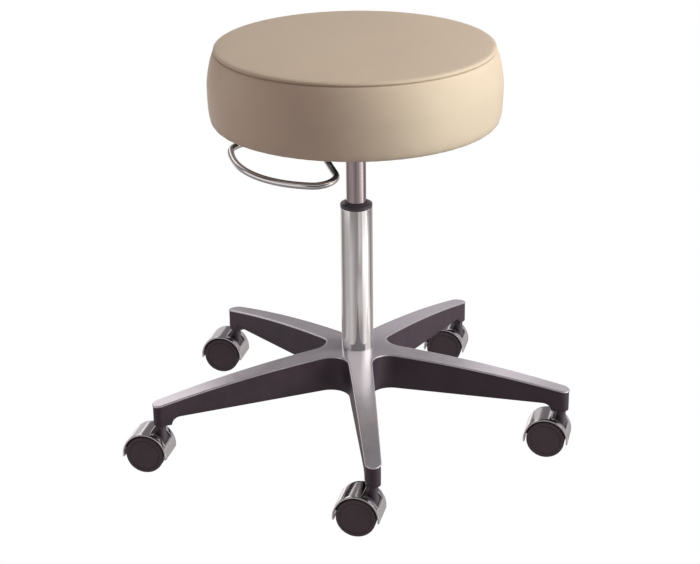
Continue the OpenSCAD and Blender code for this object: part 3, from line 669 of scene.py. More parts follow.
class PatternTree:
    """A Geometry Nodes tree that makes what repeats round the column or follows a path.

    The tree sweeps the edges of the object into a round wire where Wire is above 0, copies the
    result Copies times round the Z axis, welds the copies, and gives its faces their materials.
    """

    def __init__(self, name: str, sweep: bool) -> None:
        """Builds the tree.

        Args:
            name: the tree's name.
            sweep: whether the object's edges are swept into a wire first.
        """
        self.tree = bpy.data.node_groups.new(name, "GeometryNodeTree")
        self.identifiers: dict[str, str] = {}
        face = self.tree.interface
        face.new_socket("Geometry", in_out="INPUT", socket_type="NodeSocketGeometry")
        inputs = [("Copies", "NodeSocketInt"), ("Weld", "NodeSocketFloat"),
                  ("Material", "NodeSocketMaterial"), ("Top Material", "NodeSocketMaterial")]
        if sweep:
            inputs += [("Wire", "NodeSocketFloat"), ("Sides", "NodeSocketInt")]
        for label, kind in inputs:
            socket = face.new_socket(label, in_out="INPUT", socket_type=kind)
            self.identifiers[label] = socket.identifier
        face.new_socket("Geometry", in_out="OUTPUT", socket_type="NodeSocketGeometry")
        sketch = NodeSketch(self.tree)
        given = sketch.add("NodeGroupInput").outputs
        shape = given["Geometry"]
        if sweep:
            shape = self._swept(sketch, given)
        line = sketch.add("GeometryNodeMeshLine", {"Count": given["Copies"], "Offset": (0, 0, 0)})
        index = sketch.add("GeometryNodeInputIndex").outputs["Index"]
        step = sketch.sum_of("DIVIDE", math.tau, given["Copies"])
        turn = sketch.add("ShaderNodeCombineXYZ", {"Z": sketch.sum_of("MULTIPLY", index, step)})
        copies = sketch.add("GeometryNodeInstanceOnPoints", {
            "Points": line.outputs["Mesh"], "Instance": shape, "Rotation": turn.outputs["Vector"]})
        solid = sketch.add("GeometryNodeRealizeInstances", {
            "Geometry": copies.outputs["Instances"]})
        welded = sketch.add("GeometryNodeMergeByDistance", {
            "Geometry": solid.outputs["Geometry"], "Distance": given["Weld"]})
        plain = sketch.add("GeometryNodeSetMaterial", {
            "Geometry": welded.outputs["Geometry"], "Material": given["Material"]})
        top = sketch.add("GeometryNodeInputNamedAttribute", {"Name": "top_face"},
                         data_type="BOOLEAN")
        dressed = sketch.add("GeometryNodeSetMaterial", {
            "Geometry": plain.outputs["Geometry"], "Selection": top.outputs["Attribute"],
            "Material": given["Top Material"]})
        sketch.add("NodeGroupOutput", {"Geometry": dressed.outputs["Geometry"]})

    @staticmethod
    def _swept(sketch: NodeSketch, given: bpy.types.NodeOutputs) -> bpy.types.NodeSocket:
        """Sweeps the object's edges into a wire.

        Args:
            sketch: the tree.
            given: the tree's inputs.

        Returns:
            The wire's geometry socket.
        """
        path = sketch.add("GeometryNodeMeshToCurve", {"Mesh": given["Geometry"]})
        profile = sketch.add("GeometryNodeCurvePrimitiveCircle", {
            "Resolution": given["Sides"], "Radius": given["Wire"]})
        wire = sketch.add("GeometryNodeCurveToMesh", {
            "Curve": path.outputs["Curve"], "Profile Curve": profile.outputs["Curve"],
            "Fill Caps": True})
        smooth = sketch.add("GeometryNodeSetShadeSmooth", {
            "Geometry": wire.outputs["Mesh"], "Shade Smooth": True})
        return smooth.outputs["Geometry"]

    def apply(self, made: bpy.types.Object, finish: Finish, top: Finish | None = None,
              **sizes: float) -> bpy.types.Object:
        """Runs the tree on an object and keeps what it makes.

        Args:
            made: the object whose mesh goes in.
            finish: the material of its faces.
            top: the material of the faces marked top_face.
            sizes: the other named inputs.

        Returns:
            The object with its new mesh.
        """
        materials = {"Material": finish.material(), "Top Material": (top or finish).material()}
        for material in materials.values():
            made.data.materials.append(material)
        modifier = made.modifiers.new(self.tree.name, "NODES")
        modifier.node_group = self.tree
        for label, value in {**materials, **sizes}.items():
            modifier[self.identifiers[label]] = value
        return settled(made)


# Seat


@dataclass
class Cushion:
    """The padded seat: a top panel with a rolled edge, a seam, and a band turned under the board.

    roll_pulls are how far the rolled edge's control points lie below the panel's edge and above the
    seam. band_pulls are those of the band's upper curve: the first counted from the seam, and the
    height of the second. lower_pulls are the height and the radius of the lower curve's.
    curve_steps are the edges in the roll, the band above and below its fullest, and the part that
    is turned under. Inside the first of hold_radii the underside is held all round, and inside the
    second at the staples.
    """

    crown: float = 584.5
    flat: float = 60.0
    crown_drop: float = 3.2
    panel: float = 185.1
    crown_steps: int = 26
    crown_spacing: float = 0.85
    curve_steps: tuple[int, int, int, int] = (14, 34, 20, 12)
    seam: Point2 = (190.7, 575.5)
    roll_bulge: float = 2.0
    roll_pulls: Point2 = (0.6, 1.75)
    band_pulls: tuple[Point2, float] = ((4.95, -1.4), 541.13)
    fullest: float = 202.0
    bulge: float = 529.675
    lower_pulls: Point2 = (484.52, 198.8)
    underside: float = 477.0
    corner: float = 192.4
    turned_edge: float = 158.4
    board: Point2 = (184.55, 493.25)
    board_face: float = 478.15
    segments: int = 360
    groove_depth: float = 0.5
    groove_width: float = 0.9
    groove_way: Point2 = (-0.93, -0.37)
    groove_steps: int = 6
    pleats: int = 40
    pleat_height: float = 0.75
    pleat_width: float = 0.11
    pleat_wander: float = 0.25
    dimple: float = 0.32
    dimple_height: float = 26.0
    hold_radii: Point2 = (170.6, 180.6)
    voxel: float = 5.5
    shrink: float = 2.0
    pressure: float = 4.0
    frames: int = 20
    proxy_segments: int = 96
    proxy_taper: float = 60.0
    proxy_waist: float = 530.0
    loft_waves: Point2 = (70.0, 27.0)
    loft_gain: float = 0.6
    loft_cap: float = 1.1

    @staticmethod
    def _bezier(controls: Sequence[Point2], steps: int) -> list[Point2]:
        """Points on a cubic curve.

        Args:
            controls: its four control points.
            steps: how many edges it is cut into.

        Returns:
            The points, without the first.
        """
        a, b, c, d = (Vector(p) for p in controls)
        made = []
        for k in range(1, steps + 1):
            t = k / steps
            s = 1 - t
            made.append(tuple(a * s ** 3 + b * 3 * s * s * t + c * 3 * s * t * t + d * t ** 3))
        return made

    def outline(self) -> list[Point2]:
        """The cover's outline from the crown's middle to the edge of the turned-under vinyl."""
        crown = [(0.0, self.crown)]
        for k in range(1, self.crown_steps + 1):
            radius = self.panel * (k / self.crown_steps) ** self.crown_spacing
            share = max(0.0, (radius - self.flat) / (self.panel - self.flat))
            crown.append((radius, self.crown - self.crown_drop * share ** 2))
        start = crown[-1]
        seam_x, seam_z = self.seam
        roll_x = seam_x + self.roll_bulge
        side, below = (self.fullest, self.bulge), (self.corner, self.underside)
        drop, lift = self.roll_pulls
        start_pull, end_pull = self.band_pulls
        lower_z, lower_x = self.lower_pulls
        roll_steps, band_steps, lower_steps, under_steps = self.curve_steps
        roll = self._bezier([start, (roll_x, start[1] - drop), (roll_x, seam_z + lift), self.seam],
                            roll_steps)
        band = self._bezier([self.seam, (seam_x + start_pull[0], seam_z + start_pull[1]),
                             (self.fullest, end_pull), side], band_steps)
        lower = self._bezier([side, (self.fullest, lower_z), (lower_x, self.underside), below],
                             lower_steps)
        width = self.turned_edge - self.corner
        under = [(self.corner + width * k / under_steps, self.underside)
                 for k in range(1, under_steps + 1)]
        return crown + roll + band + lower + under

    def grooved(self, outline: Sequence[Point2]) -> tuple[list[Point2], list[float]]:
        """Adds the sewn groove to the outline.

        Args:
            outline: the cover's smooth outline.

        Returns:
            The points with the groove, and how deep in the seam each one is, from 0 to 1.
        """
        seam = Vector(self.seam)
        index = min(range(len(outline)), key=lambda k: (Vector(outline[k]) - seam).length)
        before, after = outline[:index - 2], outline[index + 2:]
        first, last = Vector(before[-1]), Vector(after[0])
        steps = self.groove_steps
        ledge = [first.lerp(seam, k / steps) for k in range(1, steps)] + [seam]
        ledge += [seam.lerp(last, k / steps) for k in range(1, steps)]
        inward = Vector(self.groove_way)
        points, depths = list(before), [0.0] * len(before)
        for point in ledge:
            depth = math.exp(-((point - seam).length / self.groove_width) ** 2)
            points.append(tuple(point + inward * depth * self.groove_depth))
            depths.append(depth)
        return points + list(after), depths + [0.0] * len(after)

    def proxy(self) -> bpy.types.Object:
        """A closed, slightly smaller cushion, remeshed evenly, that the simulation blows up."""
        rim = [(max(0.0, r - self.shrink * min(1.0, r / self.proxy_taper)),
                z - self.shrink if z > self.proxy_waist else z) for r, z in self.outline()]
        shell = turned(rim + [(0.0, self.underside)], self.proxy_segments)
        body = piece_from("cushion_proxy", shell, [VINYL])
        remesh = body.modifiers.new("even", "REMESH")
        remesh.mode = "VOXEL"
        remesh.voxel_size = self.voxel * MM
        return settled(body)

    def _groups(self, body: bpy.types.Object, rest: np.ndarray) -> None:
        """Marks what the staples and the seam hold, and where the foam is firmer.

        Args:
            body: the proxy.
            rest: its points, in millimetres.
        """
        held = body.vertex_groups.new(name="held")
        loft = body.vertex_groups.new(name="loft")
        radius = np.hypot(rest[:, 0], rest[:, 1])
        angle = np.arctan2(rest[:, 1], rest[:, 0])
        off_staple = np.abs((angle * self.pleats / math.tau + 0.5) % 1 - 0.5)
        seam_x, seam_z = self.seam
        on_seam = np.hypot(radius - seam_x + self.shrink, rest[:, 2] - seam_z) < self.voxel * 0.8
        under = rest[:, 2] < self.underside + 1.5
        everywhere, at_staples = self.hold_radii
        stapled = under & ((radius < everywhere) | ((radius < at_staples) & (off_staple < 0.2)))
        for i, point in enumerate(rest):
            if on_seam[i] or stapled[i]:
                held.add([i], 1.0, "REPLACE")
            broad, narrow = (noise.noise(Vector(point) / size) for size in self.loft_waves)
            loft.add([i], min(1.0, max(0.2, 0.7 + 0.6 * (broad + 0.5 * narrow))), "REPLACE")

    def simulated(self) -> Callable[[np.ndarray], np.ndarray]:
        """Blows up the proxy as cloth.

        Returns:
            A function that gives how far the cloth moved near each of some points, in millimetres.
        """
        body = self.proxy()
        rest = np.array([v.co for v in body.data.vertices]) / MM
        triangles = [tuple(t.vertices) for t in self._triangles(body.data)]
        self._groups(body, rest)
        cloth = body.modifiers.new("swell", "CLOTH")
        settings = cloth.settings
        settings.quality = 6
        settings.mass = 0.5
        settings.tension_stiffness = settings.compression_stiffness = 40
        settings.shear_stiffness = 20
        settings.bending_stiffness = 4
        settings.use_pressure = True
        settings.uniform_pressure_force = self.pressure
        settings.vertex_group_pressure = "loft"
        settings.vertex_group_mass = "held"
        settings.pin_stiffness = 1
        settings.effector_weights.gravity = 0
        cloth.collision_settings.use_collision = False
        cloth.point_cache.frame_start, cloth.point_cache.frame_end = 1, self.frames
        scene = bpy.context.scene
        for number in range(1, self.frames + 1):
            scene.frame_set(number)
        settled(body)
        swollen = np.array([v.co for v in body.data.vertices]) / MM
        scene.frame_set(1)
        mesh = body.data
        bpy.data.objects.remove(body)
        bpy.data.meshes.remove(mesh)
        shift = swollen - rest
        tree = BVHTree.FromPolygons([tuple(p) for p in rest], triangles)

        def near(points: np.ndarray) -> np.ndarray:
            """How far the cloth moved at the nearest place to each point."""
            found = np.zeros_like(points)
            for i, point in enumerate(points):
                place, _, face, _ = tree.find_nearest(Vector(point))
                corners = triangles[face]
                weights = poly_3d_calc([Vector(rest[c]) for c in corners], place)
                found[i] = sum(w * shift[c] for w, c in zip(weights, corners))
            return found

        LOG.info("cushion simulated: the cloth moved %.1f mm at most",
                 np.linalg.norm(shift, axis=1).max())
        return near

    @staticmethod
    def _triangles(mesh: bpy.types.Mesh) -> Sequence[bpy.types.MeshLoopTriangle]:
        """The mesh's triangles."""
        mesh.calc_loop_triangles()
        return mesh.loop_triangles

    def _loft(self, points: np.ndarray, rings: int) -> np.ndarray:
        """The uneven part of the simulated swelling.

        Args:
            points: the cover's points, ring by ring, in millimetres.
            rings: how many rings there are after the pole.

        Returns:
            How far each point moves; the even part is already in the measured outline.
        """
        near = self.simulated()
        moves = near(points).reshape(rings, self.segments, 3)
        angle = math.tau * np.arange(self.segments) / self.segments
        out = np.stack([np.cos(angle), np.sin(angle)], axis=-1)
        radial = (moves[..., :2] * out).sum(axis=-1)
        radial -= radial.mean(axis=1, keepdims=True)
        upward = moves[..., 2] - moves[..., 2].mean(axis=1, keepdims=True)
        radial, upward = (np.clip(self.loft_gain * m, -self.loft_cap, self.loft_cap)
                          for m in (radial, upward))
        shift = np.concatenate([radial[..., None] * out, upward[..., None]], axis=-1)
        return shift.reshape(-1, 3)

    def _pleated(self, points: np.ndarray) -> np.ndarray:
        """Lays the small pleats of the turned-under vinyl between the staples.

        Args:
            points: the cover's points, in millimetres.

        Returns:
            How far each point moves.
        """
        shift = np.zeros_like(points)
        radius = np.hypot(points[:, 0], points[:, 1])
        angle = np.arctan2(points[:, 1], points[:, 0]) * self.pleats / math.tau
        pleat = np.floor(angle)
        wander = np.array([noise.noise(Vector((p * 0.73, 4.2, 0.5))) for p in pleat])
        size = np.array([noise.noise(Vector((p * 1.31, 9.7, 2.5))) for p in pleat])
        across = np.abs(angle - pleat - 0.5 - self.pleat_wander * wander)
        ridge = np.exp(-(across / self.pleat_width) ** 2) * (1 + 0.8 * size)
        under = np.clip((198 - radius) / 8, 0, 1) * (points[:, 2] < self.underside + 3)
        shift[:, 2] -= under * ridge * self.pleat_height
        raised = (points[:, 2] - self.underside) / self.dimple_height
        pull = np.clip(1 - raised, 0, 1) * (radius > 190)
        dimple = self.dimple * pull ** 1.5 * np.cos((angle - pleat) * math.tau)
        shift[:, :2] += (dimple / np.maximum(radius, 1))[:, None] * points[:, :2]
        return shift

    def build(self) -> bpy.types.Object:
        """Makes the cushion and fits it to the seat."""
        rim, depths = self.grooved(self.outline())
        board_radius, board_top = self.board
        inside = [(self.turned_edge, self.board_face), (board_radius, self.board_face),
                  (board_radius, board_top), (board_radius / 2, board_top), (0.0, board_top)]
        points, faces = turned(rim + inside, self.segments)
        cover = np.array(points)
        outer = slice(1, 1 + (len(rim) - 1) * self.segments)
        cover[outer] += self._loft(cover[outer], len(rim) - 1)
        cover[outer] += self._pleated(cover[outer])
        cushion = piece_from("seat_cushion", (list(map(tuple, cover)), faces), [VINYL], 60,
                             outward=False)
        with edited(cushion.data) as work:
            bmesh.ops.recalc_face_normals(work, faces=work.faces)
        # The groove's depth at each point; the vinyl paints shade along it and dulls its gloss
        # there.
        shade = np.zeros(len(points), np.float32)
        for ring in range(1, len(rim)):
            shade[1 + (ring - 1) * self.segments:1 + ring * self.segments] = depths[ring]
        seam = cushion.data.attributes.new("seam", "FLOAT", "POINT")
        seam.data.foreach_set("value", shade)
        fitted(cushion, Body.SEAT, Slot.VINYL, "cover_top", "cover_band", "seat_foam")
        return cushion


@dataclass
class SeatHardware:
    """The small parts seen under the seat: the staples and the mount screws."""

    staple_count: int = 40
    staple_circle: float = 170.4
    staple_face: float = 476.9
    staple_width: float = 11.0
    staple_leg: float = 6.0
    staple_wire: float = 0.55
    staple_bend: float = 0.7
    screw_circle: float = 84.853
    screw_count: int = 4
    plate_face: float = 475.2
    head: Point2 = (5.8, 4.0)
    washer: Point2 = (8.0, 1.2)

    def staples(self, wires: PatternTree) -> bpy.types.Object:
        """Makes the staples that hold the vinyl to the board.

        Args:
            wires: the tree that sweeps a path and repeats it.

        Returns:
            The piece.
        """
        half, radius = self.staple_width / 2, self.staple_circle
        low = self.staple_face - self.staple_wire * 0.9
        bend = self.staple_bend
        side = [(half, low + self.staple_leg), (half, low + bend),
                (half - bend * 0.3, low + bend * 0.3), (half - bend, low)]
        path = side + [(-y, z) for y, z in reversed(side)]
        made = path_object("cover_staple_ring", [(radius, y, z) for y, z in path])
        wires.apply(made, ZINC, Copies=self.staple_count, Weld=0.0, Wire=self.staple_wire * MM,
                    Sides=6)
        return fitted(made, Body.SEAT, Slot.ZINC, "cover_staples")

    def screws(self, copies: PatternTree) -> bpy.types.Object:
        """Makes the mount screws' hexagon heads and washers.

        Args:
            copies: the tree that repeats a shape round the column.

        Returns:
            The piece.
        """
        radius, height = self.head
        washer_radius, washer = self.washer
        top, middle = self.plate_face, self.plate_face - washer
        flange = turned(filleted([(0, top, 0), (washer_radius, top, 0.2),
                                  (washer_radius, middle, 0.3), (0, middle, 0)], 2), 32)
        low = middle - height
        hexagon = turned([(0, middle), (radius, middle), (radius, low + 0.7), (radius - 0.8, low),
                          (radius - 2.2, low), (radius - 2.5, low + 0.4), (0, low + 0.4)], 6)
        reach = self.screw_circle * math.sqrt(0.5)
        shell = moved(joined([flange, hexagon]), Matrix.Translation((reach, reach, 0)))
        made = piece_from("mount_screw_heads", shell, [], 30)
        copies.apply(made, ZINC, Copies=self.screw_count, Weld=0.0)
        return fitted(made, Body.SEAT, Slot.ZINC, "mount_screws")


# Lift


@dataclass
class Lift:
    """The chromed column, the guide bush in its mouth and the satin gas cylinder."""

    column: float = 22.6
    wall: float = 1.8
    hub_top: float = 137.5
    foot: Point2 = (21.05, 74.0)
    top: float = 348.5
    rim: float = 0.9
    plate_top: float = 79.0
    bush_length: float = 90.0
    play: float = 0.05
    cap: Point2 = (4.5, 3.2)
    cap_lip: float = 1.6
    cylinder: float = 14.0
    cylinder_wall: float = 1.5
    cylinder_cap: float = 4.0
    cylinder_foot: float = 164.34
    socket_mouth: float = 425.0
    cone: Point2 = (13.037, 464.4)
    valve: float = 2.55
    segments: int = 128

    def column_tube(self) -> bpy.types.Object:
        """Makes the column with its tapered foot and rounded mouth."""
        bore = self.column - self.wall
        foot_radius, foot_z = self.foot
        foot_bore = foot_radius - self.wall
        profile = filleted([
            (foot_bore, foot_z, 0), (foot_radius, foot_z, 0.4), (self.column, self.hub_top, 0),
            (self.column, self.top, self.rim), (bore, self.top, 0.5), (bore, self.hub_top, 0),
            (foot_bore, self.plate_top, 0)], 5)
        made = piece_from("lift_column", turned(profile, self.segments, closed=True), [CHROME])
        return fitted(made, Body.BASE, Slot.CHROME, "column_tube")

    def bush(self) -> bpy.types.Object:
        """Makes the dark guide bush with its cap on the column's end."""
        outer, inner = self.column - self.wall - self.play, self.cylinder + self.play
        side, dome = self.cap
        foot, shoulder = self.top - self.bush_length, self.top + side
        profile = filleted([
            (outer, foot, 0), (outer, self.top, 0), (self.column, self.top, 0.3),
            (self.column, shoulder, 0.9), (inner + self.cap_lip, shoulder + dome, 0.7),
            (inner, shoulder + dome, 0.4), (inner, foot, 0)], 4)
        made = piece_from("guide_bush_ring", turned(profile, 96, closed=True), [BLACK_PLASTIC])
        return fitted(made, Body.BASE, Slot.BLACK_PLASTIC, "guide_bush")

    def gas_tube(self) -> bpy.types.Object:
        """Makes the gas cylinder, straight and then conical to its cap."""
        bore = self.cylinder - self.cylinder_wall
        cone_radius, cone_top = self.cone
        cone_bore, cap = cone_radius - 2 * self.cylinder_wall, cone_top - self.cylinder_cap
        profile = filleted([
            (bore, self.cylinder_foot, 0), (self.cylinder, self.cylinder_foot, 0.6),
            (self.cylinder, self.socket_mouth, 0), (cone_radius, cone_top, 0.6),
            (self.valve, cone_top, 0), (self.valve, cap, 0), (cone_bore, cap, 0),
            (bore, self.socket_mouth, 0)], 4)
        made = piece_from("gas_cylinder_tube", turned(profile, self.segments, closed=True),
                          [SATIN_STEEL])
        return fitted(made, Body.SEAT, Slot.SATIN_STEEL, "gas_cylinder")


@dataclass
class ReleaseHandle:
    """The D-shaped chromed wire that releases the lift.

    path_steps are the edges in a leg's bend, in a corner and in half the bow.
    """

    heading: float = -146.3
    droop: float = 7.8
    pin_reach: float = 30.0
    pin_height: float = 454.0
    plane: float = -4.0
    start: float = 14.0
    straight: float = 17.0
    spacing: float = 11.0
    bend: float = 12.0
    leg_angle: float = 66.22
    leg: float = 79.1
    corner: float = 24.0
    bow_centre: float = -30.5
    bow: float = 174.0
    wire: float = 4.75
    path_steps: tuple[int, int, int] = (8, 12, 16)

    def half_path(self) -> list[Point2]:
        """One side's centreline from its end in the block to the middle of the bow."""
        bend_steps, corner_steps, bow_steps = self.path_steps
        made = [(self.start, self.spacing), (self.start + self.straight, self.spacing)]
        centre = Vector((self.start + self.straight, self.spacing + self.bend))
        for k in range(1, bend_steps + 1):
            angle = math.radians(-90 + self.leg_angle * k / bend_steps)
            made.append(tuple(centre + Vector(polar(self.bend, angle))))
        heading = math.radians(self.leg_angle)
        end = Vector(made[-1]) + Vector(polar(self.leg, heading))
        made.append(tuple(Vector(made[-1]).lerp(end, 0.5)))
        middle = end + Vector((math.sin(heading), -math.cos(heading))) * self.corner
        bow_angle = math.degrees(math.atan2(middle.y, middle.x - self.bow_centre))
        sweep = bow_angle - self.leg_angle - 90
        for k in range(corner_steps + 1):
            angle = math.radians(self.leg_angle + 90 + sweep * k / corner_steps)
            made.append(tuple(middle + Vector(polar(self.corner, angle))))
        for k in range(1, bow_steps + 1):
            x, y = polar(self.bow, math.radians(bow_angle * (1 - k / bow_steps)))
            made.append((self.bow_centre + x, y))
        return made

    def build(self, wires: PatternTree) -> bpy.types.Object:
        """Makes the handle.

        Args:
            wires: the tree that sweeps a path.

        Returns:
            The piece.
        """
        half = self.half_path()
        path = half + [(x, -y) for x, y in reversed(half[:-1])]
        place = (Matrix.Rotation(math.radians(self.heading), 4, "Z")
                 @ Matrix.Translation((self.pin_reach, 0, self.pin_height))
                 @ Matrix.Rotation(math.radians(self.droop), 4, "Y"))
        made = path_object("release_handle", [place @ Vector((x, y, self.plane)) for x, y in path])
        wires.apply(made, CHROME, Copies=1, Weld=0.0, Wire=self.wire * MM, Sides=32)
        return fitted(made, Body.HANDLE, Slot.CHROME, "handle")


# Base


@dataclass
class BaseCasting:
    """The five-arm base: a hub and hollow arms with buffed tops and dark painted sides."""

    reach: float = 308.0
    root_half: float = 18.3
    tip: float = 11.1
    crotch: float = 27.0
    hub_top: float = 137.5
    rise: float = 40.0
    straight_share: float = 0.35
    hub_bottom: float = 82.0
    fall: float = 4.0
    mouth: float = 67.0
    crotch_end: float = 60.5
    step: Point2 = (272.0, 284.0)
    after_step: float = 290.0
    hollow_from: float = 30.6
    bore_top: float = 22.65
    bore_bottom: float = 21.3
    socket: Point2 = (5.6, 25.0)
    proud: float = 0.8
    edge: float = 2.3
    round_over: float = 1.1
    hollow_inset: float = 4.8
    roof: float = 6.3
    rib_places: tuple[float, ...] = (101.6, 157.3, 213.0)
    rib: Point2 = (3.0, 14.0)
    rib_draft: float = 0.3
    rib_bite: Point2 = (0.6, 1.5)
    tip_share: float = 0.55
    grain_scale: float = 0.01
    arc_steps: int = 12
    root_steps: int = 6
    tip_steps: int = 10
    side_steps: int = 22
    curve_steps: int = 6
    socket_steps: int = 9
    across: int = 7

    def __post_init__(self) -> None:
        """Works out the arms' taper and starts without points."""
        self.stem = self.reach - self.tip
        self.narrowing = (self.root_half - self.tip) / self.stem
        self.points: list[Point3] = []
        self.faces: list[tuple[int, ...]] = []
        self.tops: list[bool] = []

    def top(self, radius: float) -> float:
        """The polished top's height at a distance from the column's axis."""
        share = radius / self.reach
        return self.hub_top - self.rise * (self.straight_share * share
                                           + (1 - self.straight_share) * share * share)

    def bottom(self, radius: float) -> float:
        """The underside's height at a distance from the column's axis."""
        first, last = self.step
        if radius <= self.hollow_from:
            return self.hub_bottom
        if radius < first:
            drop = self.fall * (radius - self.hollow_from) / (first - self.hollow_from)
            return self.hub_bottom - drop
        if radius >= last:
            return self.mouth
        share = (radius - first) / (last - first)
        depth = self.hub_bottom - self.fall - self.mouth
        return self.mouth + depth * math.sqrt(1 - share * share)

    def half_width(self, x: float, inset: float) -> float:
        """Half an arm's width."""
        return self.root_half - self.narrowing * x - inset

    def side_stations(self, touch: float) -> list[float]:
        """Where the arm's side is cut, from the crotch's curve to the tip.

        Args:
            touch: where the crotch's curve meets the side.

        Returns:
            The distances along the arm.
        """
        first, last = self.step
        curve = [first + (last - first) * math.sin(math.radians(90 * k / self.curve_steps))
                 for k in range(self.curve_steps + 1)]
        straight = [touch + (first - touch) * k / self.side_steps
                    for k in range(1, self.side_steps)]
        return straight + curve + [self.after_step, self.stem]

    def outline(self, inset: float) -> list[Point2]:
        """Half the plan of one arm, from the middle of the crotch to the arm's end.

        Args:
            inset: how far inside the polished edge it is drawn.

        Returns:
            The points, the same number at any inset.
        """
        lean = math.atan(self.narrowing)
        radius = self.crotch + inset
        away = (self.half_width(0, inset) * math.cos(lean) + radius) / math.sin(HALF_SECTOR + lean)
        centre = Vector(polar(away, HALF_SECTOR))
        start, end = math.pi + HALF_SECTOR, math.radians(270) - lean
        made = [tuple(centre + Vector(polar(radius, start + (end - start) * k / self.arc_steps)))
                for k in range(self.arc_steps + 1)]
        made += [(x, self.half_width(x, inset)) for x in self.side_stations(self.crotch_end)]
        for k in range(1, self.tip_steps + 1):
            x, y = polar(self.tip - inset, math.radians(90 * (1 - k / self.tip_steps)))
            made.append((self.stem + x, y))
        return made

    def _row(self, places: Sequence[Point2], height: Callable[[float], float]) -> list[int]:
        """Adds a row of points.

        Args:
            places: where they stand.
            height: gives a point's height from its distance from the axis.

        Returns:
            Their numbers.
        """
        first = len(self.points)
        self.points += [(x, y, height(math.hypot(x, y))) for x, y in places]
        return list(range(first, len(self.points)))

    def _strip(self, low: Sequence[int], high: Sequence[int], top: bool = False) -> None:
        """Joins two rows with faces.

        Args:
            low: one row's numbers.
            high: the other's.
            top: whether the faces are polished.
        """
        for k in range(len(low) - 1):
            face = tuple(dict.fromkeys((low[k], low[k + 1], high[k + 1], high[k])))
            if len(face) > 2:
                self.faces.append(face)
                self.tops.append(top)

    def _plate(self, ring: Sequence[int]) -> None:
        """Adds one dark face with many corners."""
        self.faces.append(tuple(ring))
        self.tops.append(False)

    def _polished_top(self, rim: Sequence[Point2], rim_row: list[int]) -> list[int]:
        """Lays the polished top between the rim and the arm's middle line.

        Args:
            rim: the rounded edge's inner outline.
            rim_row: its points' numbers.

        Returns:
            The numbers of the points on the hub's bore, from the crotch's middle to the arm's.
        """
        turn = self.arc_steps // 2
        inner = [polar(self.bore_top, HALF_SECTOR * (1 - k / turn)) for k in range(turn + 1)]
        touch = rim[self.arc_steps][0]
        rest = self.arc_steps - turn
        inner += [(self.bore_top + (touch - self.bore_top) * k / rest, 0.0)
                  for k in range(1, rest + 1)]
        inner += [(x, 0.0) for x, _ in rim[self.arc_steps + 1:-self.tip_steps]]
        last_x = inner[-1][0]
        inner += [(last_x + (rim[-1][0] - last_x) * self.tip_share * k / self.tip_steps, 0.0)
                  for k in range(1, self.tip_steps + 1)]
        before = rim_row
        for step in range(1, self.across + 1):
            share = step / self.across
            row = self._row([(a[0] + (b[0] - a[0]) * share, a[1] + (b[1] - a[1]) * share)
                             for a, b in zip(rim, inner)], self.top)
            self._strip(before, row, top=True)
            before = row
        return before[:turn + 1]

    def _rim(self) -> tuple[list[int], list[int], list[Point2]]:
        """Lays the rounded edge of the top, the lip under it and the dark side below.

        Returns:
            The rows at the top's inner outline and at the underside's, and the first one's places.
        """
        size = self.round_over
        curve = [(size * (1 - math.sin(t)), size * (1 - math.cos(t)))
                 for t in (math.radians(22.5 * k) for k in range(5))]
        lip = [(0.0, self.edge - 0.35), (0.1, self.edge - 0.08), (0.35, self.edge),
               (self.proud, self.edge)]
        first_row: list[int] = []
        before: list[int] = []
        for number, (inset, drop) in enumerate(curve + lip):
            row = self._row(self.outline(inset), lambda r, d=drop: self.top(r) - d)
            if number:
                self._strip(before, row, top=True)
            else:
                first_row = row
            before = row
        wall = [(self.proud, lambda r: self.top(r) - self.edge - 1.0)]
        wall += [(self.proud, lambda r, s=s: self.bottom(r) + 1.2
                  + (self.top(r) - self.edge - 2.2 - self.bottom(r)) * s)
                 for s in (0.66, 0.33, 0.0)]
        wall += [(self.proud + 0.35, lambda r: self.bottom(r) + 0.35),
                 (self.proud + 1.2, lambda r: self.bottom(r))]
        for inset, height in wall:
            row = self._row(self.outline(inset), height)
            self._strip(before, row)
            before = row
        return first_row, before, self.outline(size)

    def _hollow(self, stations: Sequence[float]) -> tuple[list[int], int, int]:
        """Lays the hollow's wall, roof and ends.

        Args:
            stations: where its side is cut, from the hub to the socket's block.

        Returns:
            The row at its open edge and the two points where its ends meet the arm's middle line.
        """
        side = [(x, self.half_width(x, self.hollow_inset)) for x in stations]
        middle = [(x, 0.0) for x in stations]
        edge = self._row(side, self.bottom)
        roof = self._row(side, lambda r: self.top(r) - self.roof)
        spine = self._row(middle, lambda r: self.top(r) - self.roof)
        self._strip(edge, roof)
        self._strip(roof, spine)
        ends = []
        for k in (0, -1):
            corner = self._row([middle[k]], self.bottom)[0]
            self._plate([edge[k], roof[k], spine[k], corner])
            ends.append(corner)
        return edge, ends[0], ends[1]

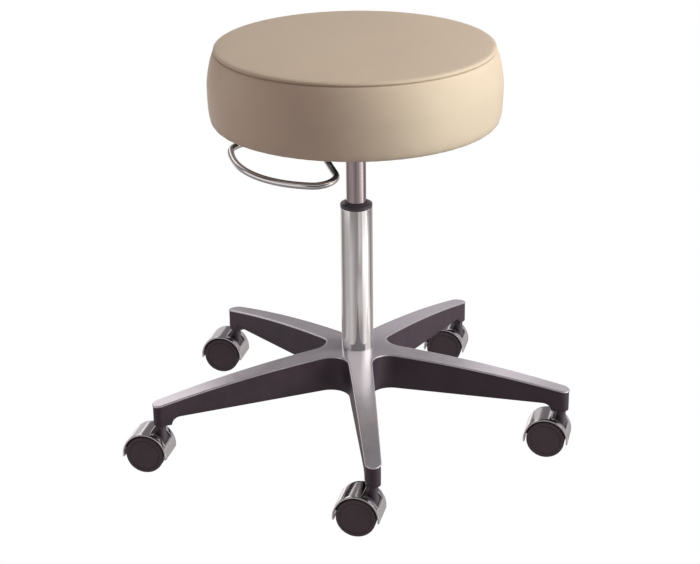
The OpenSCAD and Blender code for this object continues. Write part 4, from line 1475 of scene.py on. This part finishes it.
    def _underside(self, low: list[int], bore: list[int]) -> None:
        """Closes the arm below, round its hollow, the hub's bore and the stem's socket.

        Args:
            low: the dark side's lowest row.
            bore: the points of the bore's upper edge.
        """
        sides = self.side_stations(self.crotch_end)
        last = sides.index(self.step[1])
        touch = self.points[low[self.arc_steps]][0]
        root = [self.hollow_from + (touch - self.hollow_from) * k / self.root_steps
                for k in range(self.root_steps + 1)]
        edge, near_end, far_end = self._hollow(root + sides[:last + 1])
        self._strip(low[self.arc_steps:self.arc_steps + last + 2], edge[self.root_steps:])
        count = len(bore) - 1
        ring = self._row([polar(self.bore_bottom, HALF_SECTOR * (1 - k / count))
                          for k in range(count + 1)], self.bottom)
        self._strip(bore, ring)
        self._plate(low[:self.arc_steps + 1] + edge[:self.root_steps + 1][::-1] + [near_end]
                    + ring[::-1])
        radius, depth = self.socket
        rounds = []
        for k in range(self.socket_steps + 1):
            x, y = polar(radius, math.pi * k / self.socket_steps)
            rounds.append((self.stem + x, y))
        mouth = self._row(rounds, lambda r: self.mouth)
        roof = self._row(rounds, lambda r: self.mouth + depth)
        self._strip(mouth, roof)
        self._plate(roof)
        self._plate(low[self.arc_steps + last + 1:] + mouth + [far_end, edge[-1]])

    def _ribs(self) -> None:
        """Stands the ribs across the hollow, each with a slight draft."""
        thickness, depth = self.rib
        side_bite, roof_bite = self.rib_bite
        for x in self.rib_places:
            low, high = self.top(x) - self.roof - depth, self.top(x) - self.roof + roof_bite
            corners = []
            for z, half in ((low, thickness / 2 - self.rib_draft), (high, thickness / 2)):
                for dx in (-half, half):
                    reach = self.half_width(x + dx, self.hollow_inset) + side_bite
                    corners += [(x + dx, 0.0, z), (x + dx, reach, z)]
            base = len(self.points)
            self.points += corners
            for face in ((0, 1, 3, 2), (0, 4, 5, 1), (2, 3, 7, 6), (1, 5, 7, 3)):
                self._plate([base + k for k in face])

    def build(self, copies: PatternTree) -> bpy.types.Object:
        """Makes one arm and repeats it round the hub.

        Args:
            copies: the tree that repeats a shape round the column.

        Returns:
            The piece.
        """
        rim_row, low, rim = self._rim()
        bore = self._polished_top(rim, rim_row)
        self._underside(low, bore)
        self._ribs()
        count = len(self.points)
        self.points += [(x, -y, z) for x, y, z in self.points]
        self.faces += [tuple(i + count for i in face) for face in self.faces]
        self.tops += self.tops
        made = linked("five_arm_base", self._arm_mesh())
        copies.apply(made, CASTING_PAINT, POLISHED, Copies=len(Place), Weld=4 * WELD)
        with edited(made.data) as work:
            bmesh.ops.recalc_face_normals(work, faces=work.faces)
        smoothed(made.data, 50)
        return fitted(made, Body.BASE, Slot.ALUMINIUM, "base_casting")

    def _arm_mesh(self) -> bpy.types.Mesh:
        """One arm along -Y with its grain UV map and its polished faces marked."""
        mesh = bpy.data.meshes.new("arm")
        mesh.from_pydata([tuple(c * MM for c in p) for p in self.points], [], self.faces)
        mark = mesh.attributes.new("top_face", "BOOLEAN", "FACE")
        mark.data.foreach_set("value", self.tops)
        grain = mesh.uv_layers.new(name="grain")
        for loop in mesh.loops:
            x, y, _ = self.points[loop.vertex_index]
            grain.data[loop.index].uv = (x * self.grain_scale, y * self.grain_scale)
        mesh.transform(Matrix.Rotation(Place.FRONT.heading, 4, "Z"))
        with edited(mesh) as work:
            bmesh.ops.remove_doubles(work, verts=work.verts, dist=WELD)
        return mesh


# Casters


@dataclass
class Caster:
    """One hooded twin-wheel caster."""

    place: Place
    stem_reach: float = 296.9
    heading: float = 163.7
    wheel: float = 27.0
    inner_face: float = 6.5
    outer_face: float = 23.1
    trail: float = 19.0
    hood: Point2 = (29.4, 31.8)
    hood_half: float = 23.6
    hood_end: float = 9.0
    hood_row: float = 19.0
    hood_step: float = 3.5
    hood_bevel: float = 0.7
    hood_crease: float = 40.0
    opening: tuple[float, float, float] = (-8.0, 11.5, 14.5)
    axle: float = 3.05
    rounding: float = 1.6
    recess: tuple[float, float, float] = (7.0, 23.2, 5.0)
    groove: tuple[float, float, float, float] = (22.3, 21.9, 21.1, 20.9)
    groove_depth: float = 0.9
    dish: tuple[float, float, float] = (0.35, 0.75, 0.8)
    axle_pit: float = 11.0
    wheel_segments: int = 80

    def frame(self) -> Matrix:
        """From the caster's own frame, with its stem on Z, to the row frame, in millimetres."""
        stem = polar(self.stem_reach, self.place.heading)
        return (Matrix.Translation((*stem, 0))
                @ Matrix.Rotation(math.radians(self.heading), 4, "Z"))

    def axle_frame(self) -> Matrix:
        """From the axle's frame, with the axle on Z, to the row frame, in millimetres."""
        return (self.frame() @ Matrix.Translation((self.trail, 0, self.wheel))
                @ Matrix.Rotation(math.radians(-90), 4, "X"))

    def node(self, part: str) -> str:
        """The CAD name of one of the caster's parts."""
        return f"caster_{part}_{self.place.value}"

    def wheels(self) -> None:
        """Makes the two wheels, each with a flat disc, its groove and a rounded tread."""
        inner, outer, radius = self.inner_face, self.outer_face, self.wheel
        hub, tread, recess = self.recess
        groove, groove_floor = self.groove, outer - self.groove_depth
        lip, hollow, middle = (outer - drop for drop in self.dish)
        profile = filleted([
            (self.axle, inner, 0), (hub, inner, 0.4), (hub, inner + recess, 0.8),
            (tread, inner + recess, 0.8), (tread, inner, 0.4), (radius, inner, self.rounding),
            (radius, outer, self.rounding), (groove[0], outer, 0.35),
            (groove[1], groove_floor, 0.3), (groove[2], groove_floor, 0.3),
            (groove[3], lip, 0.35), (hub, hollow, 0), (0, middle, 0)], 4)
        pit = [(0.0, inner + self.axle_pit), (self.axle, inner + self.axle_pit)]
        for letter, turn in (("a", 0.0), ("b", math.pi)):
            place = self.axle_frame() @ Matrix.Rotation(turn, 4, "X")
            shell = moved(turned(profile + pit, self.wheel_segments, closed=True), place)
            wheel = f"wheel_{letter}_{self.place.value}"
            fitted(piece_from(f"{wheel}_disc", shell, [WHEEL_PLASTIC]), wheel, Slot.WHEEL_PLASTIC,
                   self.node(f"wheel_{letter}"))

    def hood_cover(self) -> bpy.types.Object:
        """Makes the chromed hood over the wheels, open round the neck."""
        inner, outer = self.hood
        behind, ahead, half = self.opening
        centre = (inner + outer) / 2
        stops = self._arc_stops(centre)
        right = [0.0, half / 2, half, self.hood_row, self.hood_half]
        rows = [-y for y in reversed(right[1:])] + right
        points: list[Point3] = []
        faces: list[tuple[int, ...]] = []
        for angle in stops:
            x, z = polar(centre, angle)
            points += [(self.trail + x, y, self.wheel + z) for y in rows]
        width = len(rows)
        for i in range(len(stops) - 1):
            x, z = polar(centre, (stops[i] + stops[i + 1]) / 2)
            at_neck = z > 0 and behind < self.trail + x < ahead
            for j in range(width - 1):
                if at_neck and abs(rows[j] + rows[j + 1]) / 2 < half:
                    continue
                k = i * width + j
                faces.append((k, k + 1, k + width + 1, k + width))
        shell = moved((points, faces), self.frame())
        made = piece_from(self.node("hood_shell"), shell, [CHROME], self.hood_crease,
                          outward=False)
        axle = self.axle_frame().translation * MM
        with edited(made.data) as work:
            loose = [v for v in work.verts if not v.link_faces]
            bmesh.ops.delete(work, geom=loose, context="VERTS")
            bmesh.ops.recalc_face_normals(work, faces=work.faces)
            work.faces.ensure_lookup_table()
            face = work.faces[0]
            if face.normal.dot(face.calc_center_median() - axle) < 0:
                bmesh.ops.reverse_faces(work, faces=work.faces)
        wall = made.modifiers.new("wall", "SOLIDIFY")
        wall.thickness, wall.offset = (outer - inner) * MM, 0
        edge = made.modifiers.new("edge", "BEVEL")
        edge.width, edge.segments, edge.limit_method = self.hood_bevel * MM, 3, "ANGLE"
        edge.angle_limit = math.radians(self.hood_crease)
        settled(made)
        smoothed(made.data, self.hood_crease)
        return fitted(made, f"caster_{self.place.value}", Slot.CHROME, self.node("hood"))

    def _arc_stops(self, radius: float) -> list[float]:
        """The angles at which the hood is cut, with stops on the opening's two ends.

        Args:
            radius: the middle of the hood's wall.

        Returns:
            The angles in radians, from below the axle behind to below it in front.
        """
        behind, ahead, _ = self.opening
        first, last = math.radians(-self.hood_end), math.radians(180 + self.hood_end)
        near = math.acos((ahead - self.trail) / radius)
        far = math.acos((behind - self.trail) / radius)
        made = []
        for start, end in ((first, near), (near, far), (far, last)):
            steps = max(4, round(math.degrees(end - start) / self.hood_step))
            made += [start + (end - start) * k / steps for k in range(steps)]
        return made + [last]

    def dress_nodes(self) -> None:
        """Gives the caster's body, stem and axle their finishes."""
        for part, finish in (("body", BLACK_PLASTIC), ("stem", ZINC), ("axle", ZINC)):
            dress_node(self.node(part), finish)

    def build(self) -> None:
        """Makes the caster's pieces."""
        self.wheels()
        self.hood_cover()
        self.dress_nodes()


def dress_node(name: str, finish: Finish) -> None:
    """Gives a CAD node its finish.

    Args:
        name: the node.
        finish: its finish.
    """
    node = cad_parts[name]
    node.data.materials.clear()
    node.data.materials.append(finish.material())


# Studio


@dataclass
class PhotoCamera:
    """The camera at the photograph's place and angle. Its lens and sensor are in millimetres."""

    place: Point3 = (-0.1577, -2.4934, 1.2385)
    yaw: float = -3.391
    pitch: float = 21.9
    roll: float = -0.616
    lens: float = 97.51
    sensor: float = 36.0
    far: float = 50.0

    def build(self) -> None:
        """Makes the camera and gives it to the scene."""
        yaw, pitch, roll = (math.radians(a) for a in (self.yaw, self.pitch, self.roll))
        right = Vector((math.cos(yaw), math.sin(yaw), 0))
        ahead = Vector((-math.sin(yaw), math.cos(yaw), 0))
        up_axis = Vector((0, 0, 1))
        forward = ahead * math.cos(pitch) - up_axis * math.sin(pitch)
        upright = ahead * math.sin(pitch) + up_axis * math.cos(pitch)
        side = right * math.cos(roll) + upright * math.sin(roll)
        top = upright * math.cos(roll) - right * math.sin(roll)
        data = bpy.data.cameras.new("photo_camera")
        data.lens, data.sensor_width = self.lens, self.sensor
        data.clip_end = self.far
        made = linked("photo_camera", data)
        matrix = Matrix((side, top, -forward)).transposed().to_4x4()
        matrix.translation = self.place
        made.matrix_world = matrix
        bpy.context.scene.camera = made


@dataclass(frozen=True)
class Glow:
    """A soft bright part of the studio's walls or sweep, as the stool sees it.

    azimuth is counted from the camera's side towards its right and elevation from the horizon.
    Each is a middle, a half width and a fade, in degrees.
    """

    azimuth: Point3
    elevation: Point3
    power: float
    colour: Colour = (1.0, 0.955, 0.97)


@dataclass(frozen=True)
class Lamp:
    """A soft light that faces the stool and that the metal doesn't mirror.

    azimuth is counted from the camera's side towards its right and elevation from the horizon, in
    degrees. size is the lamp's side, away its distance and height where it aims, in metres, and
    power is in watts.
    """

    name: str
    azimuth: float
    elevation: float
    size: float
    power: float
    colour: Colour
    away: float = 2.3
    height: float = 0.35

    def hang(self, yaw: float) -> None:
        """Makes the lamp.

        Args:
            yaw: the camera's turn, in degrees.
        """
        data = bpy.data.lights.new(self.name, "AREA")
        data.shape, data.size = "SQUARE", self.size
        data.energy, data.color = self.power, self.colour
        made = linked(self.name, data)
        level, rise = polar(1, math.radians(self.elevation))
        toward = Vector((*polar(level, math.radians(self.azimuth + yaw - 90)), rise))
        made.location = toward * self.away + Vector((0, 0, self.height))
        made.rotation_euler = toward.to_track_quat("Z", "Y").to_euler()
        made.visible_glossy = made.visible_camera = False


@dataclass
class Studio:
    """A white sweep with a key light from the right and grey walls that the metal mirrors."""

    yaw: float = -3.39
    floor_half: float = 12.0
    dark: Colour = (0.06, 0.052, 0.057)
    glows: tuple[Glow, ...] = (
        Glow((0, 180, 1), (-50, 42, 4), 0.21, (1.0, 0.92, 0.94)),
        Glow((180, 60, 12), (20, 30, 8), 0.11, (1.0, 0.92, 0.98)),
        Glow((150, 28, 3), (4, 11, 5), 0.21, (1.0, 0.95, 1.0)),
        Glow((-150, 28, 3), (5, 13, 6), 0.06),
        Glow((-164, 6, 4), (4, 14, 5), 0.36, (0.98, 0.96, 1.0)),
        Glow((73, 16, 25), (-24, 5.5, 5), 0.72),
        Glow((58, 14, 14), (-12, 4.5, 5), 0.66),
        Glow((76, 4, 5), (-18.5, 2, 2.5), 1.5),
        Glow((24, 8, 26), (-20.6, 0.5, 2.4), 0.3),
        Glow((22, 6, 8), (-14.5, 2, 2), 0.35),
        Glow((100, 8, 14), (-24.5, 1.5, 2.5), 0.35),
        Glow((0, 30, 30), (-21, 5, 4), 0.05),
        Glow((-58, 20, 36), (-22, 5, 5), 0.22),
        Glow((-46, 6, 12), (-22, 4, 4), 0.1),
        Glow((-162, 16, 26), (-17, 5, 4), 0.6),
        Glow((142, 14, 8), (-22, 8, 5), 0.18),
        Glow((-150, 13.5, 5), (27, 8, 5), 0.85),
        Glow((166.4, 1.3, 2.2), (26, 8, 5), 0.5),
        Glow((150, 13, 4), (26, 8, 5), 0.16),
        Glow((20, 90, 30), (34, 6, 3.5), 0.55),
        Glow((85, 40, 20), (34, 6, 3.5), 0.55),
        Glow((84, 22, 10), (14, 16, 6), 0.95),
        Glow((-82, 28, 12), (2, 14, 4), 0.72),
    )
    lamps: tuple[Lamp, ...] = (
        Lamp("key", 80, 28, 1.1, 50, (1.0, 0.99, 0.98)),
        Lamp("overhead", 115, 68, 2.2, 23.5, (1.0, 0.99, 1.0)),
        Lamp("left_rim", -102, 10, 0.9, 15.5, (1.0, 0.95, 0.92)),
        Lamp("front_fill", -8, 12, 2.4, 10, (1.0, 0.76, 0.78)),
        Lamp("band_glow", 47, 0, 0.15, 0.5, (0.8, 1.0, 0.94), 0.55, 0.53),
    )

    def world(self) -> None:
        """Makes the surroundings: white to the camera, one glow to cloth, all glows to metal."""
        made = bpy.data.worlds.new("studio")
        made.use_nodes = True
        sketch = NodeSketch(made.node_tree)
        place = sketch.add("ShaderNodeTexCoord").outputs["Generated"]
        ray = sketch.add("ShaderNodeSeparateXYZ", {0: place})
        turn, elevation = (sketch.sum_of("MULTIPLY", angle, math.degrees(1)) for angle in (
            sketch.sum_of("ARCTAN2", ray.outputs[1], ray.outputs[0]),
            sketch.sum_of("ARCSINE", ray.outputs[2])))
        azimuth = sketch.sum_of("SUBTRACT", turn, self.yaw - 90)
        lights: list[object] = [rgba(self.dark)]
        for glow in self.glows:
            share = sketch.sum_of("MULTIPLY", self._window(sketch, azimuth, glow.azimuth),
                                  self._window(sketch, elevation, glow.elevation))
            power = sketch.sum_of("MULTIPLY", share, glow.power)
            added = sketch.add("ShaderNodeMix", {0: power, 6: lights[-1], 7: rgba(glow.colour)},
                               data_type="RGBA", blend_type="ADD", clamp_factor=False)
            lights.append(added.outputs[2])
        seen, walls, bounce = (
            sketch.add("ShaderNodeBackground", {"Color": colour, "Strength": 1.0}).outputs[0]
            for colour in ((1, 1, 1, 1), lights[-1], lights[1]))
        path = sketch.add("ShaderNodeLightPath").outputs
        matte = sketch.add("ShaderNodeMixShader", {0: path["Is Diffuse Ray"], 1: walls, 2: bounce})
        shown = sketch.add("ShaderNodeMixShader", {
            0: path["Is Camera Ray"], 1: matte.outputs[0], 2: seen})
        sketch.add("ShaderNodeOutputWorld", {"Surface": shown.outputs[0]})
        bpy.context.scene.world = made

    @staticmethod
    def _window(sketch: NodeSketch, angle: object, place: Point3) -> bpy.types.NodeSocket:
        """How far an angle lies within a glow.

        Args:
            sketch: the world's tree.
            angle: the ray's angle in degrees.
            place: the glow's middle, half width and fade.

        Returns:
            1 within the half width, fading to 0 past it.
        """
        middle, half, fade = place
        off = sketch.sum_of("SUBTRACT", angle, middle)
        near = sketch.add("ShaderNodeMath", {0: off, 1: 180.0, 2: -180.0}, operation="WRAP")
        return sketch.add("ShaderNodeMapRange", {
            "Value": sketch.sum_of("ABSOLUTE", near.outputs[0]), "From Min": half,
            "From Max": half + fade, "To Min": 1.0, "To Max": 0.0},
            interpolation_type="SMOOTHSTEP").outputs["Result"]

    def floor(self) -> None:
        """Lays the pale floor, which is seen from above only."""
        mesh = bpy.data.meshes.new("floor")
        half = self.floor_half
        corners = [(-half, -half, 0), (half, -half, 0), (half, half, 0), (-half, half, 0)]
        mesh.from_pydata(corners, [], [(0, 1, 2, 3)])
        made = linked("floor", mesh)
        material = bpy.data.materials.new("pale_floor")
        material.use_nodes = True
        sketch = NodeSketch(material.node_tree)
        white = sketch.add("ShaderNodeEmission", {"Color": (1, 1, 1, 1), "Strength": 1.0})
        clear = sketch.add("ShaderNodeBsdfTransparent")
        below = sketch.add("ShaderNodeNewGeometry").outputs["Backfacing"]
        mixed = sketch.add("ShaderNodeMixShader", {
            0: below, 1: white.outputs[0], 2: clear.outputs[0]})
        sketch.add("ShaderNodeOutputMaterial", {"Surface": mixed.outputs[0]})
        mesh.materials.append(material)
        made.visible_glossy = made.visible_diffuse = made.visible_shadow = False

    def build(self) -> None:
        """Sets up the walls, the floor and the lights."""
        self.world()
        self.floor()
        for lamp in self.lamps:
            lamp.hang(self.yaw)
        bpy.context.scene.view_settings.view_transform = "Standard"


def main() -> None:
    """Builds the stool's pieces in order."""
    logging.basicConfig(level=logging.INFO, format="%(name)s: %(message)s")
    PhotoCamera().build()
    Studio().build()
    wires = PatternTree("bent_wire", sweep=True)
    copies = PatternTree("round_the_column", sweep=False)
    Cushion().build()
    hardware = SeatHardware()
    hardware.staples(wires)
    hardware.screws(copies)
    lift = Lift()
    lift.column_tube()
    lift.bush()
    lift.gas_tube()
    ReleaseHandle().build(wires)
    BaseCasting().build(copies)
    for place in Place:
        Caster(place).build()
    for name, finish in CAD_FINISHES.items():
        dress_node(name, finish)


if __name__ == "__main__":
    main()
